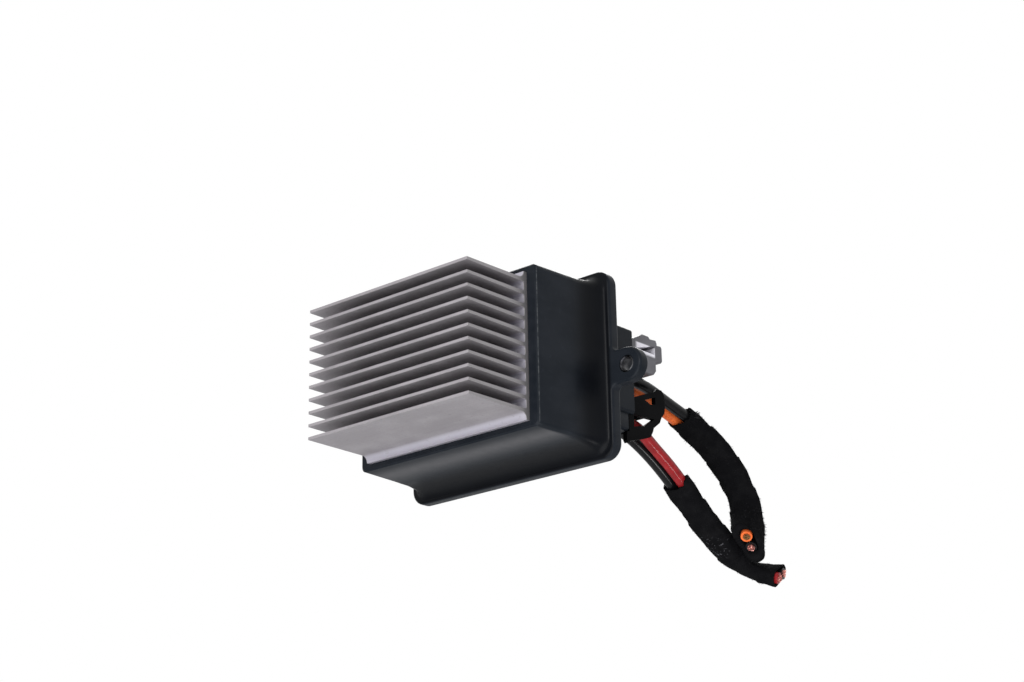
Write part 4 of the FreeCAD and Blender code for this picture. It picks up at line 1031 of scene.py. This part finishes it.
edge_blank, rod_blank = linked("edge", edge), linked("rods", hole_rods())
sink = settle(valley, profile_group(), {
    "Edge": edge_blank, "Rods": rod_blank, "Fin count": FIN_COUNT, "Fin pitch": FIN_PITCH * MM,
    "Middle height": SINK_MIDDLE * MM, "Finish": ALUMINIUM})
bpy.data.objects.remove(edge_blank)
bpy.data.objects.remove(rod_blank)
open_edges = sum(1 for e in sink.edges if len([f for f in sink.polygons if e.key in f.edge_keys]) != 2)
print("heatsink faces", len(sink.polygons), "edges without two faces", open_edges)
soft_edged("fins", sink, ALUMINIUM, 0.12, "heatsink")

# %% [markdown]
# ## Solids with softened edges
# The shapes of the CAD solids are right, so the ones whose edges catch the light stay as bevelled copies.

# %% Solids with softened edges
for node, name, material, slot, width in (
        ("housing", "case", HOUSING, "housing", 0.25),
        ("power_plug", "plug_body", BLACK_PLUG, "black_plug", 0.2),
        ("control_plug", "small_plug", GREY_PLUG, "grey_plug", 0.25),
        ("wire_guide", "guide", BLACK_PLUG, "black_plug", 0.2)):
    soft_edged(name, bpy.data.objects[node].data.copy(), material, width, node)

# %% [markdown]
# Sleeves, screws, contacts and the parts on the board keep their CAD solids and only get a finish.

# %% Finishes of the other solids
FINISHES = {
    STEEL: ["ear_bush_near", "ear_bush_far", "heatsink_screw_top", "heatsink_screw_bottom", "transistor_clip",
            "clip_screw"],
    BOARD: ["circuit_board"],
    PACKAGE: ["transistor_near", "transistor_far", "control_chip"],
    PAD: ["thermal_pad_near", "thermal_pad_far"],
    CAN: ["capacitor"],
    SHUNT: ["shunt"],
    TIN: [f"{kind}_{i}" for kind in ("power_blade", "power_terminal", "control_pin") for i in range(1, 5)],
}
for material, nodes in FINISHES.items():
    for node in nodes:
        coat(bpy.data.objects[node].data, material)
    print(material.name, len(nodes))

# %% [markdown]
# ## Light and floor
# The photograph has soft light from all round on pure white, so a pale world lights the part. Four lamps add
# shape: one in front for the fins, a wide one below for the underside, one behind for the back and the top,
# and a small low one on the right that draws the thin bright lines on the wires. The camera, metal and gloss
# see the world as white. The floor is far below, because the camera looks up.

# %% Light and floor
MIDDLE = (0.0, 0.02, -0.005)
LAMPS = (  # name, place, aim, width in metres, watts
    ("key", (0.28, -0.66, 0.16), MIDDLE, 0.16, 2.2),
    ("below", (0.15, -0.30, -0.28), MIDDLE, 0.5, 2.0),
    ("back", (-0.45, 0.55, 0.45), MIDDLE, 0.4, 2.5),
    ("low spot", (0.185, 0.10, -0.255), (0.026, 0.055, -0.025), 0.06, 0.14),
)
for name, place, aim, width, watts in LAMPS:
    lamp = bpy.data.lights.new(name, "AREA")
    lamp.shape = "DISK"
    lamp.size = width
    lamp.energy = watts
    light = linked(name, lamp)
    light.location = place
    light.rotation_euler = (Vector(place) - Vector(aim)).to_track_quat("Z", "Y").to_euler()
    light.visible_camera = False

world = bpy.data.worlds.new("studio")
world.use_nodes = True
bpy.context.scene.world = world
world.node_tree.nodes.clear()
sky = Tree(world.node_tree)
ray = sky.node("ShaderNodeLightPath", out="Is Camera Ray")
seen = ray.or_more(ray.also("Is Glossy Ray")).or_more(ray.also("Is Transmission Ray"))
soft = sky.node("ShaderNodeBackground", {"Color": rgb(0.97, 0.98, 1.0), "Strength": 0.62})
white = sky.node("ShaderNodeBackground", {"Color": rgb(1, 1, 1), "Strength": 1.0})
sky.node("ShaderNodeOutputWorld", {"Surface": sky.node("ShaderNodeMixShader", {0: seen, 1: soft, 2: white})})

REACH, FLOOR = 8.0, -0.62
floor_mesh = bpy.data.meshes.new("floor")
floor_mesh.from_pydata([(x * REACH, y * REACH, FLOOR) for x, y in ((-1, -1), (1, -1), (1, 1), (-1, 1))],
                       [], [(0, 1, 2, 3)])
paper = Finish("floor", {"Roughness": 0.9})
paper.set(Base_Color=paper.mix(paper.grain(60.0, 3.0), rgb(0.86, 0.86, 0.86), rgb(0.90, 0.90, 0.90)))
floor_mesh.materials.append(paper.material)
floor = linked("floor", floor_mesh)
bpy.context.scene.view_settings.view_transform = "Standard"
print("lamps", len(LAMPS), "floor at", FLOOR, "m")

# %% Finish
bpy.context.view_layer.update()
